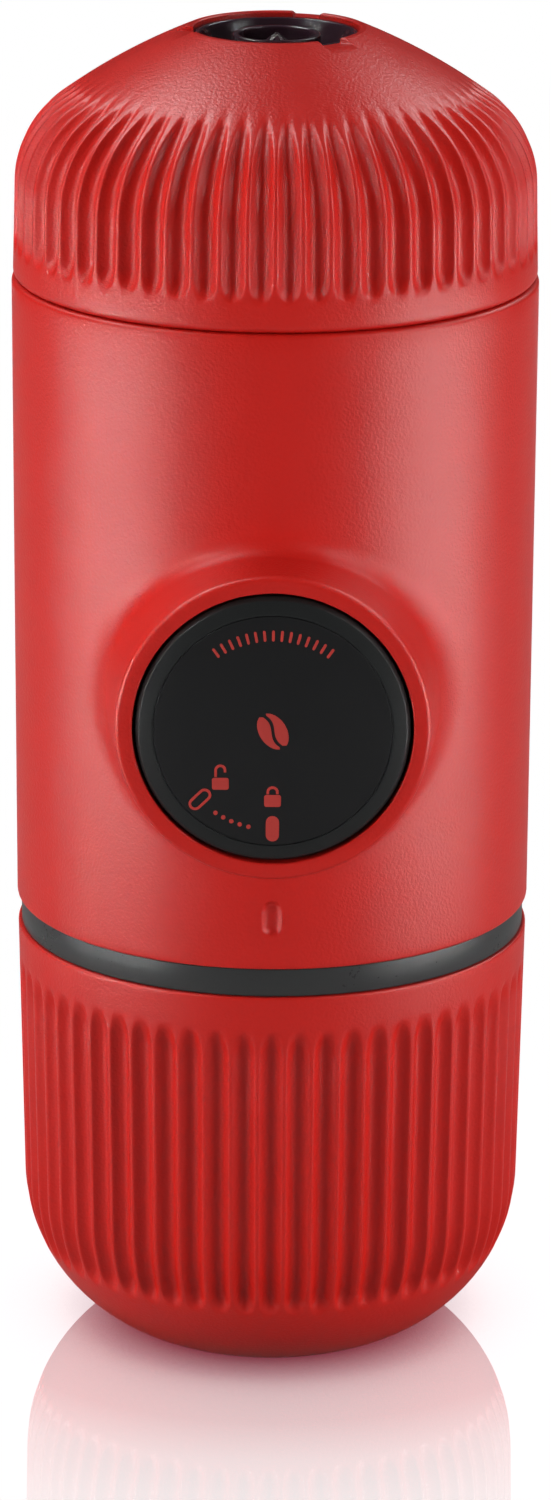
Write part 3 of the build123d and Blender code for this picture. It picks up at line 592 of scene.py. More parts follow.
def coil_rule() -> Rule:
    """Winds a wire into a coil along Z."""
    inputs = {
        "Turns": ("Float", 6.0),
        "Radius": ("Float", 0.01),
        "Length": ("Float", 0.02),
        "Wire": ("Float", 0.0007),
        "Tilt": ("Vector", (0, 0, 0)),
        "Centre": ("Vector", (0, 0, 0)),
    }
    rule = Rule("wind_coil", inputs)
    sheet, given = rule.sheet, rule.given
    ends = {"Start Radius": given["Radius"], "End Radius": given["Radius"], "Height": given["Length"]}
    line = sheet.out("GeometryNodeCurveSpiral", {"Resolution": 40, "Rotations": given["Turns"], **ends})
    wire = sheet.out("GeometryNodeCurvePrimitiveCircle", {"Resolution": 12, "Radius": given["Wire"]})
    swept = sheet.out("GeometryNodeCurveToMesh", {"Curve": line, "Profile Curve": wire, "Fill Caps": True})
    return rule.end(swept, Rotation=given["Tilt"], Translation=given["Centre"])


def mesh_disc_rule() -> Rule:
    """Makes a thin level disc with a hexagonal pattern of round holes."""
    inputs = {
        "Radius": ("Float", 0.02),
        "Thickness": ("Float", 0.0006),
        "Pitch": ("Float", 0.002),
        "Hole": ("Float", 0.0005),
        "Inner Margin": ("Float", 0.004),
        "Outer Margin": ("Float", 0.0015),
        "Level": ("Float", 0.1),
    }
    rule = Rule("perforate_disc", inputs)
    sheet, given = rule.sheet, rule.given
    row_share = math.sqrt(3) / 2
    span = sheet.sum("DIVIDE", sheet.times(given["Radius"], 2.0), given["Pitch"])
    across = sheet.sum("ADD", sheet.sum("ROUND", span), 3.0)
    rows = sheet.sum("ADD", sheet.sum("ROUND", sheet.sum("DIVIDE", span, row_share)), 4.0)
    wide = sheet.times(sheet.sum("SUBTRACT", across, 1.0), given["Pitch"])
    long = sheet.times(sheet.sum("SUBTRACT", rows, 1.0), sheet.times(given["Pitch"], row_share))
    size = {"Size X": wide, "Size Y": long, "Vertices X": across, "Vertices Y": rows}
    odd = sheet.sum("MODULO", sheet.out("GeometryNodeInputIndex"), 2.0)
    shift = sheet.out("ShaderNodeCombineXYZ", {0: sheet.times(odd, sheet.times(given["Pitch"], 0.5))})
    grid = sheet.out("GeometryNodeMeshGrid", size)
    moved = sheet.out("GeometryNodeSetPosition", {"Geometry": grid, "Offset": shift})
    position = sheet.out("GeometryNodeInputPosition")
    far = sheet.out("ShaderNodeVectorMath", {0: position}, "Value", operation="LENGTH")
    outside = sheet.sum("GREATER_THAN", far, sheet.sum("SUBTRACT", given["Radius"], given["Outer Margin"]))
    inside = sheet.sum("LESS_THAN", far, given["Inner Margin"])
    kept = sheet.out(
        "GeometryNodeDeleteGeometry", {"Geometry": moved, "Selection": sheet.sum("ADD", outside, inside)}
    )
    hole = sheet.out("GeometryNodeCurvePrimitiveCircle", {"Resolution": 8, "Radius": given["Hole"]})
    edge = sheet.out("GeometryNodeCurvePrimitiveCircle", {"Resolution": 96, "Radius": given["Radius"]})
    flat = sheet.out("GeometryNodeFillCurve", {"Curve": sheet.join(rule.repeat(kept, hole), edge)})
    thick = sheet.out(
        "GeometryNodeExtrudeMesh", {"Mesh": flat, "Offset Scale": given["Thickness"], "Individual": False}
    )
    both = sheet.join(thick, sheet.out("GeometryNodeFlipFaces", {"Mesh": flat}))
    sewn = sheet.out("GeometryNodeMergeByDistance", {"Geometry": both, "Distance": 1e-6})
    return rule.end(sewn, Translation=sheet.out("ShaderNodeCombineXYZ", {2: given["Level"]}))


@dataclass(frozen=True)
class Rows:
    """How far apart the rows of a wall are, in millimetres.

    Attributes:
        near: How far round a mark the rows are close.
        step: Usual distance.
        close: Distance near a mark.
    """

    near: float
    step: float
    close: float

    def between(self, start: float, end: float, *marks: float) -> np.ndarray:
        """Returns positions from start to end, closer together near the marks."""
        spots = [start]
        while spots[-1] < end - 1e-9:
            here = spots[-1]
            near = any(mark - self.near - self.step < here < mark + self.near for mark in marks)
            spots.append(min(end, here + (self.close if near else self.step)))
        return np.array(spots)


@dataclass
class FlutedShell:
    """What the cup and the head share: a turned wall whose outside is cut with sixty scallops.

    Attributes:
        count: Number of flutes.
        depth: Depth of a flute in the middle.
        share: Width of a flute as a share of the distance from one to the next.
        run_out: Radius on which the ends of a flute climb out.
        stretch: How many times longer the upper end climbs than the lower one.
        turn: Azimuth in degrees of the middle of one flute.
        half_columns: The fine columns from a flute's middle to a crest's, as shares of the distance between flutes.
        inner_step: Fine columns for each coarse one on the inside.
        far: Reach of a point that no flute gets to.
        crisp: Angle in degrees above which an edge stays crisp.
    """

    count: int = 60
    depth: float = 1.12
    share: float = 0.84
    run_out: float = 2.4
    stretch: float = 1.5
    turn: float = 0.0
    half_columns: tuple[float, ...] = (0.14, 0.27, 0.355, 0.405, 0.44, 0.47)
    inner_step: int = 7
    far: float = 60.0
    crisp: float = 50.0

    def azimuths(self) -> np.ndarray:
        """Returns the azimuths of the fine columns in radians, closest together where a crest turns into a flute."""
        marks = np.array([*(-m for m in reversed(self.half_columns)), 0.0, *self.half_columns, 0.5])
        pitch = 2 * math.pi / self.count
        return np.concatenate([math.radians(self.turn) + (k + marks) * pitch for k in range(self.count)])

    def shell(
        self,
        name: str,
        outside: np.ndarray,
        inside: np.ndarray,
        straight: tuple[float, float],
        rule: Rule,
        trim: Optional[Callable[[np.ndarray, np.ndarray], np.ndarray]] = None,
    ) -> bpy.types.Object:
        """Makes the shell from its half section.

        Args:
            name: The object's name.
            outside: Radius and height along the outer wall and over the rim.
            inside: The rest of the section, on the coarse columns.
            straight: Heights between which the flutes keep their full depth.
            rule: The rule that carves the flutes.
            trim: Changes a ring's points, given the points and their azimuths.

        Returns:
            The object.
        """
        fine = self.azimuths()
        coarse = fine[:: self.inner_step]
        steps = np.gradient(outside, axis=0)
        steps /= np.linalg.norm(steps, axis=1)[:, None]
        ways = np.column_stack((steps[:, 1], -steps[:, 0]))
        if ways[len(ways) // 2, 0] < 0:
            ways = -ways
        along = np.concatenate(([0.0], np.cumsum(np.linalg.norm(np.diff(outside, axis=0), axis=1))))
        low, high = sorted(float(along[np.argmin(np.abs(outside[:, 1] - height))]) for height in straight)
        reach = np.maximum(np.maximum(low - along, (along - high) / self.stretch), 0.0)
        hull = Hull()
        rings, reaches, outs = [], [], []

        def add(points: np.ndarray, past: float, way: np.ndarray) -> None:
            """Adds a ring whose points lie past the flutes' straight part and are carved along way."""
            rings.append(hull.ring(points))
            reaches.append(np.full(len(points), past))
            outs.append(way)

        for (radius, height), (out, up), past in zip(outside, ways, reach):
            points = round_ring(radius, height, fine)
            points = points if trim is None else trim(points, fine)
            add(points, past, level(out * np.cos(fine), out * np.sin(fine), up))
        for radius, height in inside:
            points = round_ring(radius, height, coarse)
            add(points, self.far, np.zeros((len(points), 3)))
        hull.bridges(rings, closed=inside[-1][0] > ON_AXIS)
        if outside[0][0] > ON_AXIS > inside[-1][0]:
            add(round_ring(0.0, outside[0][1], fine), self.far, np.zeros((1, 3)))
            hull.bridge(rings[0], rings[-1])
        made = hull.build(name)
        new = made.data.attributes.new
        new("flute_reach", "FLOAT", "POINT").data.foreach_set("value", np.concatenate(reaches) * MM)
        new("flute_out", "FLOAT_VECTOR", "POINT").data.foreach_set("vector", np.vstack(outs).ravel())
        rule.apply(
            made, RED_SHELL, Count=self.count, Depth=self.depth * MM, Share=self.share, Run_Out=self.run_out * MM,
            Turn=math.radians(self.turn),
        )
        for carried in ("flute_reach", "flute_out"):
            made.data.attributes.remove(made.data.attributes[carried])
        made.data.set_sharp_from_angle(angle=math.radians(self.crisp))
        return made


@dataclass
class Cup(FlutedShell):
    """The drinking cup that the maker stands on, which pulls off the tank downwards."""

    height: float = 50.25
    rim_r: float = 30.4
    waist_r: float = 29.8
    corner_r: float = 20.5
    corner_height: float = 18.8
    wall: float = 1.8
    floor: float = 2.0
    floor_ring: float = 10.0
    rim_round: float = 0.6
    foot_round: float = 0.9
    sole_width: float = 3.0
    flutes: tuple[float, float] = (11.9, 42.6)
    flute_ends: tuple[float, float] = (1.2, 1.7)
    turn: float = -90.0
    bowl_rows: Rows = Rows(1.8, 1.3, 0.35)
    wall_rows: Rows = Rows(2.1, 3.0, 0.4)

    def outline(self, inset: float, floor: float) -> np.ndarray:
        """Returns radius and height up the wall, moved inwards by inset, from the floor to the rim."""
        radius = self.corner_r - inset
        base = math.asin((self.corner_height - floor) / radius)
        low = self.corner_r * math.asin((self.corner_height - self.flutes[0]) / self.corner_r) + self.flute_ends[0]
        high = self.flutes[1] + self.flute_ends[1]
        bowl_marks, wall_marks = ((), ()) if inset else ((low,), (high,))
        arc = self.bowl_rows.between(0.0, base * self.corner_r, *bowl_marks)[::-1] / self.corner_r
        across = self.waist_r - self.corner_r + radius * np.cos(arc)
        corner = np.column_stack((across, self.corner_height - radius * np.sin(arc)))
        heights = self.wall_rows.between(self.corner_height, self.height, *wall_marks)[1:]
        lean = (self.rim_r - self.waist_r) / (self.height - self.corner_height)
        wall = np.column_stack((self.waist_r - inset + lean * (heights - self.corner_height), heights))
        return np.vstack((corner, wall))

    def build(self, rule: Rule) -> None:
        """Makes the cup and hangs it on its body."""
        outer = self.outline(0.0, 0.0)
        inner = self.outline(self.wall, self.floor)
        foot_r = outer[0][0]
        sole = rounded([(foot_r - self.sole_width, 0.0, 0), (foot_r, 0.0, self.foot_round), (*outer[2], 0)], steps=4)
        rim = rounded(
            [(*outer[-2], 0), (*outer[-1], self.rim_round), (*inner[-1], self.rim_round), (*inner[-2], 0)], steps=5
        )
        outside = np.vstack((sole[:-1], outer[2:-1], rim[1:-1]))
        inside = np.vstack((inner[::-1][1::2], [[self.floor_ring, self.floor], [0.0, self.floor]]))
        fit(self.shell("cup_bowl", outside, inside, self.flutes, rule), "cup_body", "red_shell", "cup")


@dataclass
class Tank:
    """The smoked water tank, whose collar shows between the cup and the body."""

    collar_r: float = 30.0
    collar: tuple[float, float] = (50.30, 53.70)
    neck_r: float = 25.4
    neck_top: float = 61.0
    neck_wall: float = 1.8
    inset: float = 2.15
    wall: float = 1.8
    floor: float = 2.4
    thread_count: int = 3
    thread_turns: float = 0.30
    thread_rise: float = 1.6
    thread_wire: float = 0.42
    thread_sunk: float = 0.22
    thread_lift: float = 2.2

    def build(self, cup: Cup, winder: Rule, repeater: Rule) -> None:
        """Makes the tank with the raised turns of its thread.

        Args:
            cup: The cup whose bowl it follows.
            winder: The rule that winds a coil.
            repeater: The rule that repeats round an axis.
        """
        low, high = self.collar
        inside_top = high - self.wall
        outer = cup.outline(self.inset, self.floor)
        outer = outer[outer[:, 1] < low]
        inner = cup.outline(self.inset + self.wall, self.floor + self.wall)
        inner = inner[inner[:, 1] < inside_top]
        bore = self.neck_r - self.neck_wall
        top = [
            (outer[-1][0], low, 0.0),
            (self.collar_r, low, 0.2),
            (self.collar_r, high, 0.2),
            (self.neck_r, high, 0.15),
            (self.neck_r, self.neck_top, 0.4),
            (bore, self.neck_top, 0.4),
            (bore, inside_top, 0.3),
            (inner[-1][0], inside_top, 0.8),
            (*inner[-1], 0.0),
        ]
        ends = [[0.0, self.floor]], [[0.0, self.floor + self.wall]]
        profile = np.vstack((ends[0], outer, rounded(top, steps=4), inner[::-1][1:], ends[1]))
        fit(dress(turned("smoked_tank", profile, 216), TANK_SMOKE), "tank_body", "tank_plastic", "water_tank")
        thread = winder.apply(
            blank("tank_thread"), TANK_SMOKE, Turns=self.thread_turns, Radius=(self.neck_r - self.thread_sunk) * MM,
            Length=self.thread_rise * MM, Wire=self.thread_wire * MM, Centre=(0.0, 0.0, (high + self.thread_lift) * MM),
        )
        repeater.apply(thread, TANK_SMOKE, Count=self.thread_count, Step=2 * math.pi / self.thread_count)
        fit(thread, "tank_body", "tank_plastic")


@dataclass
class BodyShell:
    """The plain red tube in the middle, with the round boss that the knob sits in and the index mark below it.

    Attributes:
        front_deg: Azimuth from the front at which the window round the boss ends.
        blend_deg: Azimuth from the front up to which the boss is blended into the tube.
        mark_deg: Azimuth from the front up to which the columns are closest, round the index mark.
        column_steps: Degrees between columns round the mark, round the boss and at the back.
        mark_band: Heights between which the window round the index mark lies.
        window_top: Height at which the window round the boss ends.
        band_rows: Rows below the mark's window, in it, in the boss's window and above that.
        boss_reach: Radius at which the even rings round the boss start.
        cone_reach: Radius at which the rings draw closer still, up the boss's cone.
        ring_steps: Distance between the rings outside and inside cone_reach.
        mark_fall: How far outside the index mark's edge and how deep each of its rings lies.
    """

    bottom: float = 53.75
    top: float = 128.95
    radius: float = 30.7
    draft: float = 0.2
    bore: float = 28.3
    edge: float = 0.6
    foot_edge: float = 0.35
    boss_bore: float = 15.9
    groove_r: float = 17.0
    lip: float = 1.6
    boss_front: float = 38.6
    rim_r: float = 17.75
    rim_round: float = 1.25
    root_r: float = 19.8
    root_y: float = 20.0
    root_round: float = 2.6
    front_deg: float = 54.0
    blend_deg: float = 60.0
    mark_deg: float = 4.5
    column_steps: tuple[float, float, float] = (0.5, 1.5, 3.0)
    mark_band: tuple[float, float] = (57.0, 63.0)
    window_top: float = 109.2
    band_rows: tuple[int, ...] = (3, 12, 44, 9)
    boss_reach: float = 21.95
    cone_reach: float = 19.5
    ring_steps: tuple[float, float] = (0.16, 0.12)
    mark_height: float = 60.05
    mark_size: tuple[float, float] = (2.1, 4.1)
    mark_fall: tuple[tuple[float, float], ...] = (
        (0.25, 0.0), (0.14, 0.01), (0.05, 0.05), (-0.05, 0.14), (-0.16, 0.27), (-0.28, 0.39), (-0.43, 0.48),
        (-0.6, 0.53), (-0.8, 0.55),
    )

    def tube_r(self, height: np.ndarray) -> np.ndarray:
        """Returns the tube's outer radius at a height."""
        return self.radius - self.draft * (self.top - height) / (self.top - self.bottom)

    def ahead(self, x: np.ndarray, z: np.ndarray) -> np.ndarray:
        """Returns how far the outer surface stands ahead of the stack's axis, with the boss blended in."""
        tube = np.sqrt(np.maximum(self.tube_r(z) ** 2 - x**2, 0.0))
        slope = (self.boss_front - self.root_y) / (self.root_r - self.rim_r)
        out = np.hypot(x, z - KNOB_HEIGHT)
        cone = self.boss_front - slope * (out - self.rim_r)
        wall = self.rim_r + (self.boss_front - tube - self.root_round) / slope
        left = np.clip(self.root_round - (out - wall), 0.0, self.root_round)
        root = tube + self.root_round - np.sqrt(self.root_round**2 - left**2)
        return np.where(out > wall, root, np.maximum(tube, cone))

    def columns(self) -> np.ndarray:
        """Returns the columns' azimuths from the front in degrees, across the front and then round the back."""
        fine, usual, wide = self.column_steps
        half = np.concatenate(
            (np.arange(0, self.mark_deg, fine), np.arange(self.mark_deg, self.front_deg + 0.1, usual))
        )
        back = np.arange(self.front_deg + wide, 360.0 - self.front_deg - 0.1, wide)
        return np.concatenate((-half[:0:-1], half, back))

    def build(self) -> None:
        """Makes the shell."""
        degrees = self.columns()
        azimuths = np.radians(degrees)
        last = int(np.sum(degrees <= self.front_deg + 0.01)) - 1
        middle, half_mark = (last + 1) // 2, round(self.mark_deg / self.column_steps[0])
        stops = (self.bottom + self.foot_edge, *self.mark_band, self.window_top, self.top - self.edge)
        bands = [np.linspace(low, high, rows + 1) for low, high, rows in zip(stops, stops[1:], self.band_rows)]
        heights = np.concatenate((bands[0], *(band[1:] for band in bands[1:])))
        rows = [int(row) for row in np.cumsum(self.band_rows)]
        mark_window = (rows[0], rows[1], middle - half_mark, middle + half_mark)
        boss_window = (rows[1], rows[2], 0, last)
        hull = Hull()
        outer = self.tube_grid(hull, azimuths, heights, None)
        inner = self.tube_grid(hull, azimuths, heights, self.bore)
        wide = len(azimuths)
        for grid, holes in ((outer, (mark_window, boss_window)), (inner, (boss_window,))):
            for i in range(len(heights) - 1):
                for j in range(wide):
                    if any(a <= i < b and c <= j < d for a, b, c, d in holes):
                        continue
                    k = (j + 1) % wide
                    hull.faces.append((grid[i, j], grid[i, k], grid[i + 1, k], grid[i + 1, j]))
        self.edges(hull, outer, inner, azimuths)
        self.boss(hull, self.window(outer, *boss_window), self.window(inner, *boss_window))
        self.index_mark(hull, self.window(outer, *mark_window))
        shell = hull.build("body_tube", sharp=42)
        drop_loose(shell)
        fit(dress(shell, RED_SHELL), "main_body", "red_shell", "body_shell")

    def tube_grid(self, hull: Hull, azimuths: np.ndarray, heights: np.ndarray, bore: Optional[float]) -> np.ndarray:
        """Adds the points of the inner wall, or of the outer one if bore is None.

        Returns:
            Their numbers by row and column.
        """
        rows = []
        for height in heights:
            radius = self.tube_r(height) if bore is None else bore
            x, y = radius * np.sin(azimuths), -radius * np.cos(azimuths)
            if bore is None:
                front = np.abs(np.mod(azimuths + math.pi, 2 * math.pi) - math.pi) < math.radians(self.blend_deg)
                y = np.where(front, -self.ahead(x, np.full(len(x), height)), y)
            rows.append(hull.ring(level(x, y, height)))
        return np.array(rows)

    def edges(self, hull: Hull, outer: np.ndarray, inner: np.ndarray, azimuths: np.ndarray) -> None:
        """Closes the rounded top and bottom edges between the walls."""
        for row, side, end, size in ((-1, 1, self.top, self.edge), (0, -1, self.bottom, self.foot_edge)):
            radius, start = float(self.tube_r(np.array(end))), end - side * 2
            corners = [(radius, start, 0), (radius, end, size), (self.bore, end, 0.2), (self.bore, start, 0)]
            rings = [outer[row]]
            for across, height in rounded(corners, steps=4)[2:-1]:
                rings.append(hull.ring(level(across * np.sin(azimuths), -across * np.cos(azimuths), height)))
            hull.bridges([*rings, inner[row]])

    @staticmethod
    def window(grid: np.ndarray, low: int, high: int, left: int, right: int) -> np.ndarray:
        """Returns the numbers of the points round a window of the grid, counter-clockwise seen from the front."""
        return np.concatenate(
            (grid[low, left:right], grid[low:high, right], grid[high, right:left:-1], grid[high:low:-1, left])
        )

    def boss(self, hull: Hull, loop: np.ndarray, back: np.ndarray) -> None:
        """Fills the front window with the boss, its bore and the inner wall round it."""
        points = np.vstack(hull.blocks)
        rim, behind = points[loop], points[back]
        angle = np.arctan2(rim[:, 2] - KNOB_HEIGHT, rim[:, 0])
        ux, uz = np.cos(angle), np.sin(angle)

        def towards(start: np.ndarray, radius: float, share: float) -> tuple[np.ndarray, np.ndarray]:
            """Returns X and Z of points part of the way from a window's edge to a circle round the knob's line."""
            x = start[:, 0] * (1 - share) + radius * ux * share
            return x, start[:, 2] * (1 - share) + (KNOB_HEIGHT + radius * uz) * share

        def ring(x: np.ndarray, z: np.ndarray, ahead: np.ndarray) -> np.ndarray:
            """Adds a ring so far ahead of the stack's axis."""
            return hull.ring(np.column_stack((x, -ahead, z)))

        rings = [loop]
        for share in (0.3, 0.55, 0.78):
            x, z = towards(rim, self.boss_reach, share)
            rings.append(ring(x, z, self.ahead(x, z)))
        coarse, fine = self.ring_steps
        outer = np.arange(self.boss_reach, self.cone_reach + 0.1, -coarse)
        for radius in np.concatenate((outer, np.arange(self.cone_reach, self.rim_r + fine, -fine))):
            x, z = float(radius) * ux, KNOB_HEIGHT + float(radius) * uz
            rings.append(ring(x, z, self.ahead(x, z)))
        crest = rounded(
            [
                (self.rim_r + 0.18, self.boss_front - 0.95, 0),
                (self.rim_r, self.boss_front, self.rim_round),
                (self.boss_bore, self.boss_front, 0.22),
                (self.boss_bore, self.boss_front - self.lip, 0.1),
                (self.groove_r, self.boss_front - self.lip, 0),
            ],
            steps=6,
        )
        for radius, ahead in crest:
            rings.append(ring(float(radius) * ux, KNOB_HEIGHT + float(radius) * uz, np.full(len(ux), ahead)))
        x, z = self.groove_r * ux, KNOB_HEIGHT + self.groove_r * uz
        rings.append(ring(x, z, np.sqrt(self.bore**2 - x**2)))
        for share in (0.66, 0.33):
            x, z = towards(behind, self.groove_r, share)
            rings.append(ring(x, z, np.sqrt(self.bore**2 - x**2)))
        hull.bridges([*rings, back])

    def index_mark(self, hull: Hull, loop: np.ndarray) -> None:
        """Fills the small window below the knob with the pressed-in upright mark."""
        points = np.vstack(hull.blocks)[loop]
        width, length = self.mark_size
        straight = (length - width) / 2
        flatten, end_sine = 1.35, 0.3
        angle = np.arctan2(points[:, 2] - self.mark_height, points[:, 0] * flatten)
        sine = np.sin(angle)
        in_end = np.abs(sine) > end_sine
        seat = np.where(in_end, np.sign(sine) * straight, sine / end_sine * straight)

        def outline(grow: float) -> tuple[np.ndarray, np.ndarray]:
            """Returns X and Z of the points that run round the mark, grown outwards by so much."""
            radius = width / 2 + grow
            return radius * np.cos(angle), self.mark_height + seat + radius * np.where(in_end, sine, 0)

        rings = [loop]
        across, up = outline(self.mark_fall[0][0])
        for share in (0.4, 0.75):
            x = points[:, 0] * (1 - share) + across * share
            z = points[:, 2] * (1 - share) + up * share
            rings.append(hull.ring(np.column_stack((x, -self.ahead(x, z), z))))
        for grow, deep in self.mark_fall:
            x, z = outline(grow)
            rings.append(hull.ring(np.column_stack((x, -self.ahead(x, z) + deep, z))))
        hull.bridges(rings)
        hull.lid(rings[-1])


@dataclass
class Knob:
    """The pump knob: a deep black cap on the piston rod, with a printed face.

    Attributes:
        bevel: Radius of each corner of the front's bevel and how far behind the front it lies.
        mark: Width, length and distance from the middle of the locked and the unlocked mark.
        mark_deg: Azimuths of the two marks.
        dots: Width, distance, azimuth of the first, number and step in degrees of the dots.
        ticks: Width, length, distance, azimuth of the first, number and step in degrees of the ticks.
        padlocks: Place across and up of each padlock, and how far its shackle is lifted.
    """

    front: float = 39.2
    radius: float = 15.55
    wall: float = 1.7
    face_r: float = 13.5
    face_depth: float = 0.8
    face_gap: float = 0.03
    front_wall: float = 2.0
    back: float = 14.0
    hub_r: float = 7.5
    hub_back: float = 29.4
    journal_r: float = 3.66
    print_height: float = 0.04
    print_sunk: float = 0.01
    bevel: tuple[tuple[float, float], ...] = ((13.72, 0.0), (15.15, 0.42), (15.55, 1.05))
    mark: tuple[float, float, float] = (1.5, 3.0, 11.5)
    mark_line: float = 0.6
    mark_deg: tuple[float, float] = (-90.0, -135.5)
    dots: tuple[float, float, float, int, float] = (0.52, 11.6, -103.5, 5, -5.05)
    ticks: tuple[float, float, float, float, int, float] = (0.32, 1.3, 11.2, 55.0, 15, 5.0)
    padlocks: tuple[Point, ...] = ((0.0, -7.6, 0.0), (-5.9, -5.6, 0.55))

    def build(self, repeater: Rule) -> None:
        """Makes the cap, the face and the print on it."""
        inner = self.radius - self.wall
        seat = self.front - self.face_depth
        (flat_r, flat), (bevel_r, fall), (side_r, drop) = self.bevel
        profile = rounded(
            [
                (self.journal_r, seat, 0.1),
                (self.face_r + 0.02, seat, 0.0),
                (self.face_r + 0.02, self.front - 0.02, 0.08),
                (flat_r, self.front - flat, 0.12),
                (bevel_r, self.front - fall, 0.25),
                (side_r, self.front - drop, 0.5),
                (self.radius, self.back, 0.3),
                (inner, self.back, 0.3),
                (inner, seat - self.front_wall, 1.0),
                (self.hub_r, seat - self.front_wall, 0.8),
                (self.hub_r, self.hub_back, 0.3),
                (self.journal_r, self.hub_back, 0.2),
            ],
            closed=True,
            steps=4,
        )
        cap = turned("knob_cap_shell", profile, 192, closed=True, line=Line.KNOB, sharp=30)
        fit(dress(cap, KNOB_BLACK), "knob_body", "black_plastic", "knob_cap")
        face_r, behind = self.face_r - self.face_gap, seat + 0.01
        corners = [(0, self.front, 0), (face_r, self.front, 0.12), (face_r, behind, 0), (0, behind, 0)]
        face = turned("knob_face_disc", rounded(corners, steps=3), 128, line=Line.KNOB, sharp=30)
        fit(dress(face, FACE_BLACK), "knob_body", "black_plastic", "knob_face")
        self.face_print(repeater)

    def stamp(self, name: str, outline: np.ndarray, hole: Optional[np.ndarray] = None) -> bpy.types.Object:
        """Makes a flat printed shape on the face.

        Args:
            name: The object's name.
            outline: The closed line round it, across and up from the face's middle.
            hole: The closed line round its hole, with as many points.

        Returns:
            The object.
        """
        low, high = self.front - self.print_sunk, self.front + self.print_height
        lines = [(outline, low), (outline, high)] + ([] if hole is None else [(hole, high), (hole, low)])
        hull = Hull()
        rings = [hull.ring(level(line[:, 0], line[:, 1], height)) for line, height in lines]
        hull.bridges(rings, closed=hole is not None)
        if hole is None:
            hull.lid(rings[0])
            hull.lid(rings[1])
        return hull.build(name, Line.KNOB, sharp=20)

    @staticmethod
    def stadium(width: float, length: float, distance: float, azimuth: float, steps: int = 12) -> np.ndarray:
        """Returns a rounded bar's outline, standing radially at a distance and azimuth on the face.

        Args:
            width: Its width.
            length: Its whole length.
            distance: From the face's middle to the bar's.
            azimuth: In degrees, counter-clockwise from the right.
            steps: Segments in each end.
        """
        turn = np.radians(np.concatenate((np.linspace(-90, 90, steps + 1), np.linspace(90, 270, steps + 1))))
        ends = np.where(np.arange(len(turn)) <= steps, 1, -1) * (length - width) / 2
        local = np.column_stack((distance + ends + width / 2 * np.cos(turn), width / 2 * np.sin(turn)))
        spin = math.radians(azimuth)
        return local @ np.array(((math.cos(spin), math.sin(spin)), (-math.sin(spin), math.cos(spin))))

    def face_print(self, repeater: Rule) -> None:
        """Prints the locked and unlocked marks, the dots between them, two padlocks, a bean and a row of ticks."""
        (width, length, distance), (locked, unlocked) = self.mark, self.mark_deg
        parts = [self.stamp("mark_locked", self.stadium(width, length, distance, locked))]
        hole = self.stadium(width - self.mark_line, length - self.mark_line, distance, unlocked)
        parts.append(self.stamp("mark_open", self.stadium(width, length, distance, unlocked), hole))
        width, distance, first, count, step = self.dots
        dot = self.stamp("dots", self.stadium(width, width + 0.001, distance, first, 8))
        parts.append(self.about_knob(dot, repeater, count, step))
        width, length, distance, first, count, step = self.ticks
        tick = self.stamp("ticks", self.stadium(width, length, distance, first, 4))
        parts.append(self.about_knob(tick, repeater, count, step))
        for side, (x, y, lift) in enumerate(self.padlocks):
            parts += self.padlock(f"padlock_{side}", x, y, lift)
        parts += self.bean()
        fit(dress(joined("knob_print", parts), FACE_PRINT), "knob_body", "black_plastic")

    @staticmethod
    def about_knob(item: bpy.types.Object, repeater: Rule, count: int, step: float) -> bpy.types.Object:
        """Repeats a printed item round the knob's line, by so many degrees each time."""
        to_line = Matrix.Translation((0, 0, KNOB_HEIGHT * MM)) @ Matrix.Rotation(math.pi / 2, 4, "X")
        item.data.transform(to_line.inverted())
        return repeater.apply(
            item, FACE_PRINT, Count=count, Step=math.radians(step), Tilt=(math.pi / 2, 0.0, 0.0),
            Centre=(0.0, 0.0, KNOB_HEIGHT * MM),
        )

    def padlock(self, name: str, x: float, y: float, lift: float) -> list[bpy.types.Object]:
        """Returns a padlock's two printed shapes, with the shackle lifted by so much."""
        half, low, high, corner = 0.95, 1.3, 0.1, 0.25
        box = rounded(
            [(x + side * half, y + rise, corner) for side, rise in ((-1, -low), (1, -low), (1, high), (-1, high))],
            closed=True,
            steps=3,
        )
        turn = np.radians(np.linspace(0, 180, 13))
        arch = []
        for radius, flip in ((0.68, 1), (0.38, -1)):
            line = np.column_stack((x + radius * np.cos(turn), y + 0.45 + lift + radius * np.sin(turn)))
            ends = np.array([[line[0][0], y + 0.2 + lift], [line[-1][0], y + 0.2]])
            arch.append(np.vstack((ends[:1], line, ends[1:]))[::flip])
        return [self.stamp(name, box), self.stamp(name + "_arch", np.vstack(arch))]

    def bean(self) -> list[bpy.types.Object]:
        """Returns the two halves of a coffee bean in the middle of the face."""
        across, along, gap, bow, tilt = 1.55, 2.3, 0.2, 0.34, math.radians(32)
        spin = np.array(((math.cos(tilt), math.sin(tilt)), (-math.sin(tilt), math.cos(tilt))))
        turn = np.radians(np.linspace(-74, 74, 25))
        halves = []
        for side in (-1, 1):
            outer = np.column_stack((side * across * np.cos(turn), along * np.sin(turn)))
            rise = np.linspace(outer[-1, 1], outer[0, 1], 21)[1:-1]
            crease = np.column_stack((side * gap + bow * np.sin(rise / along * math.pi), rise))
            halves.append(self.stamp(f"bean_{side + 1}", np.vstack((outer, crease)) @ spin))
        return halves


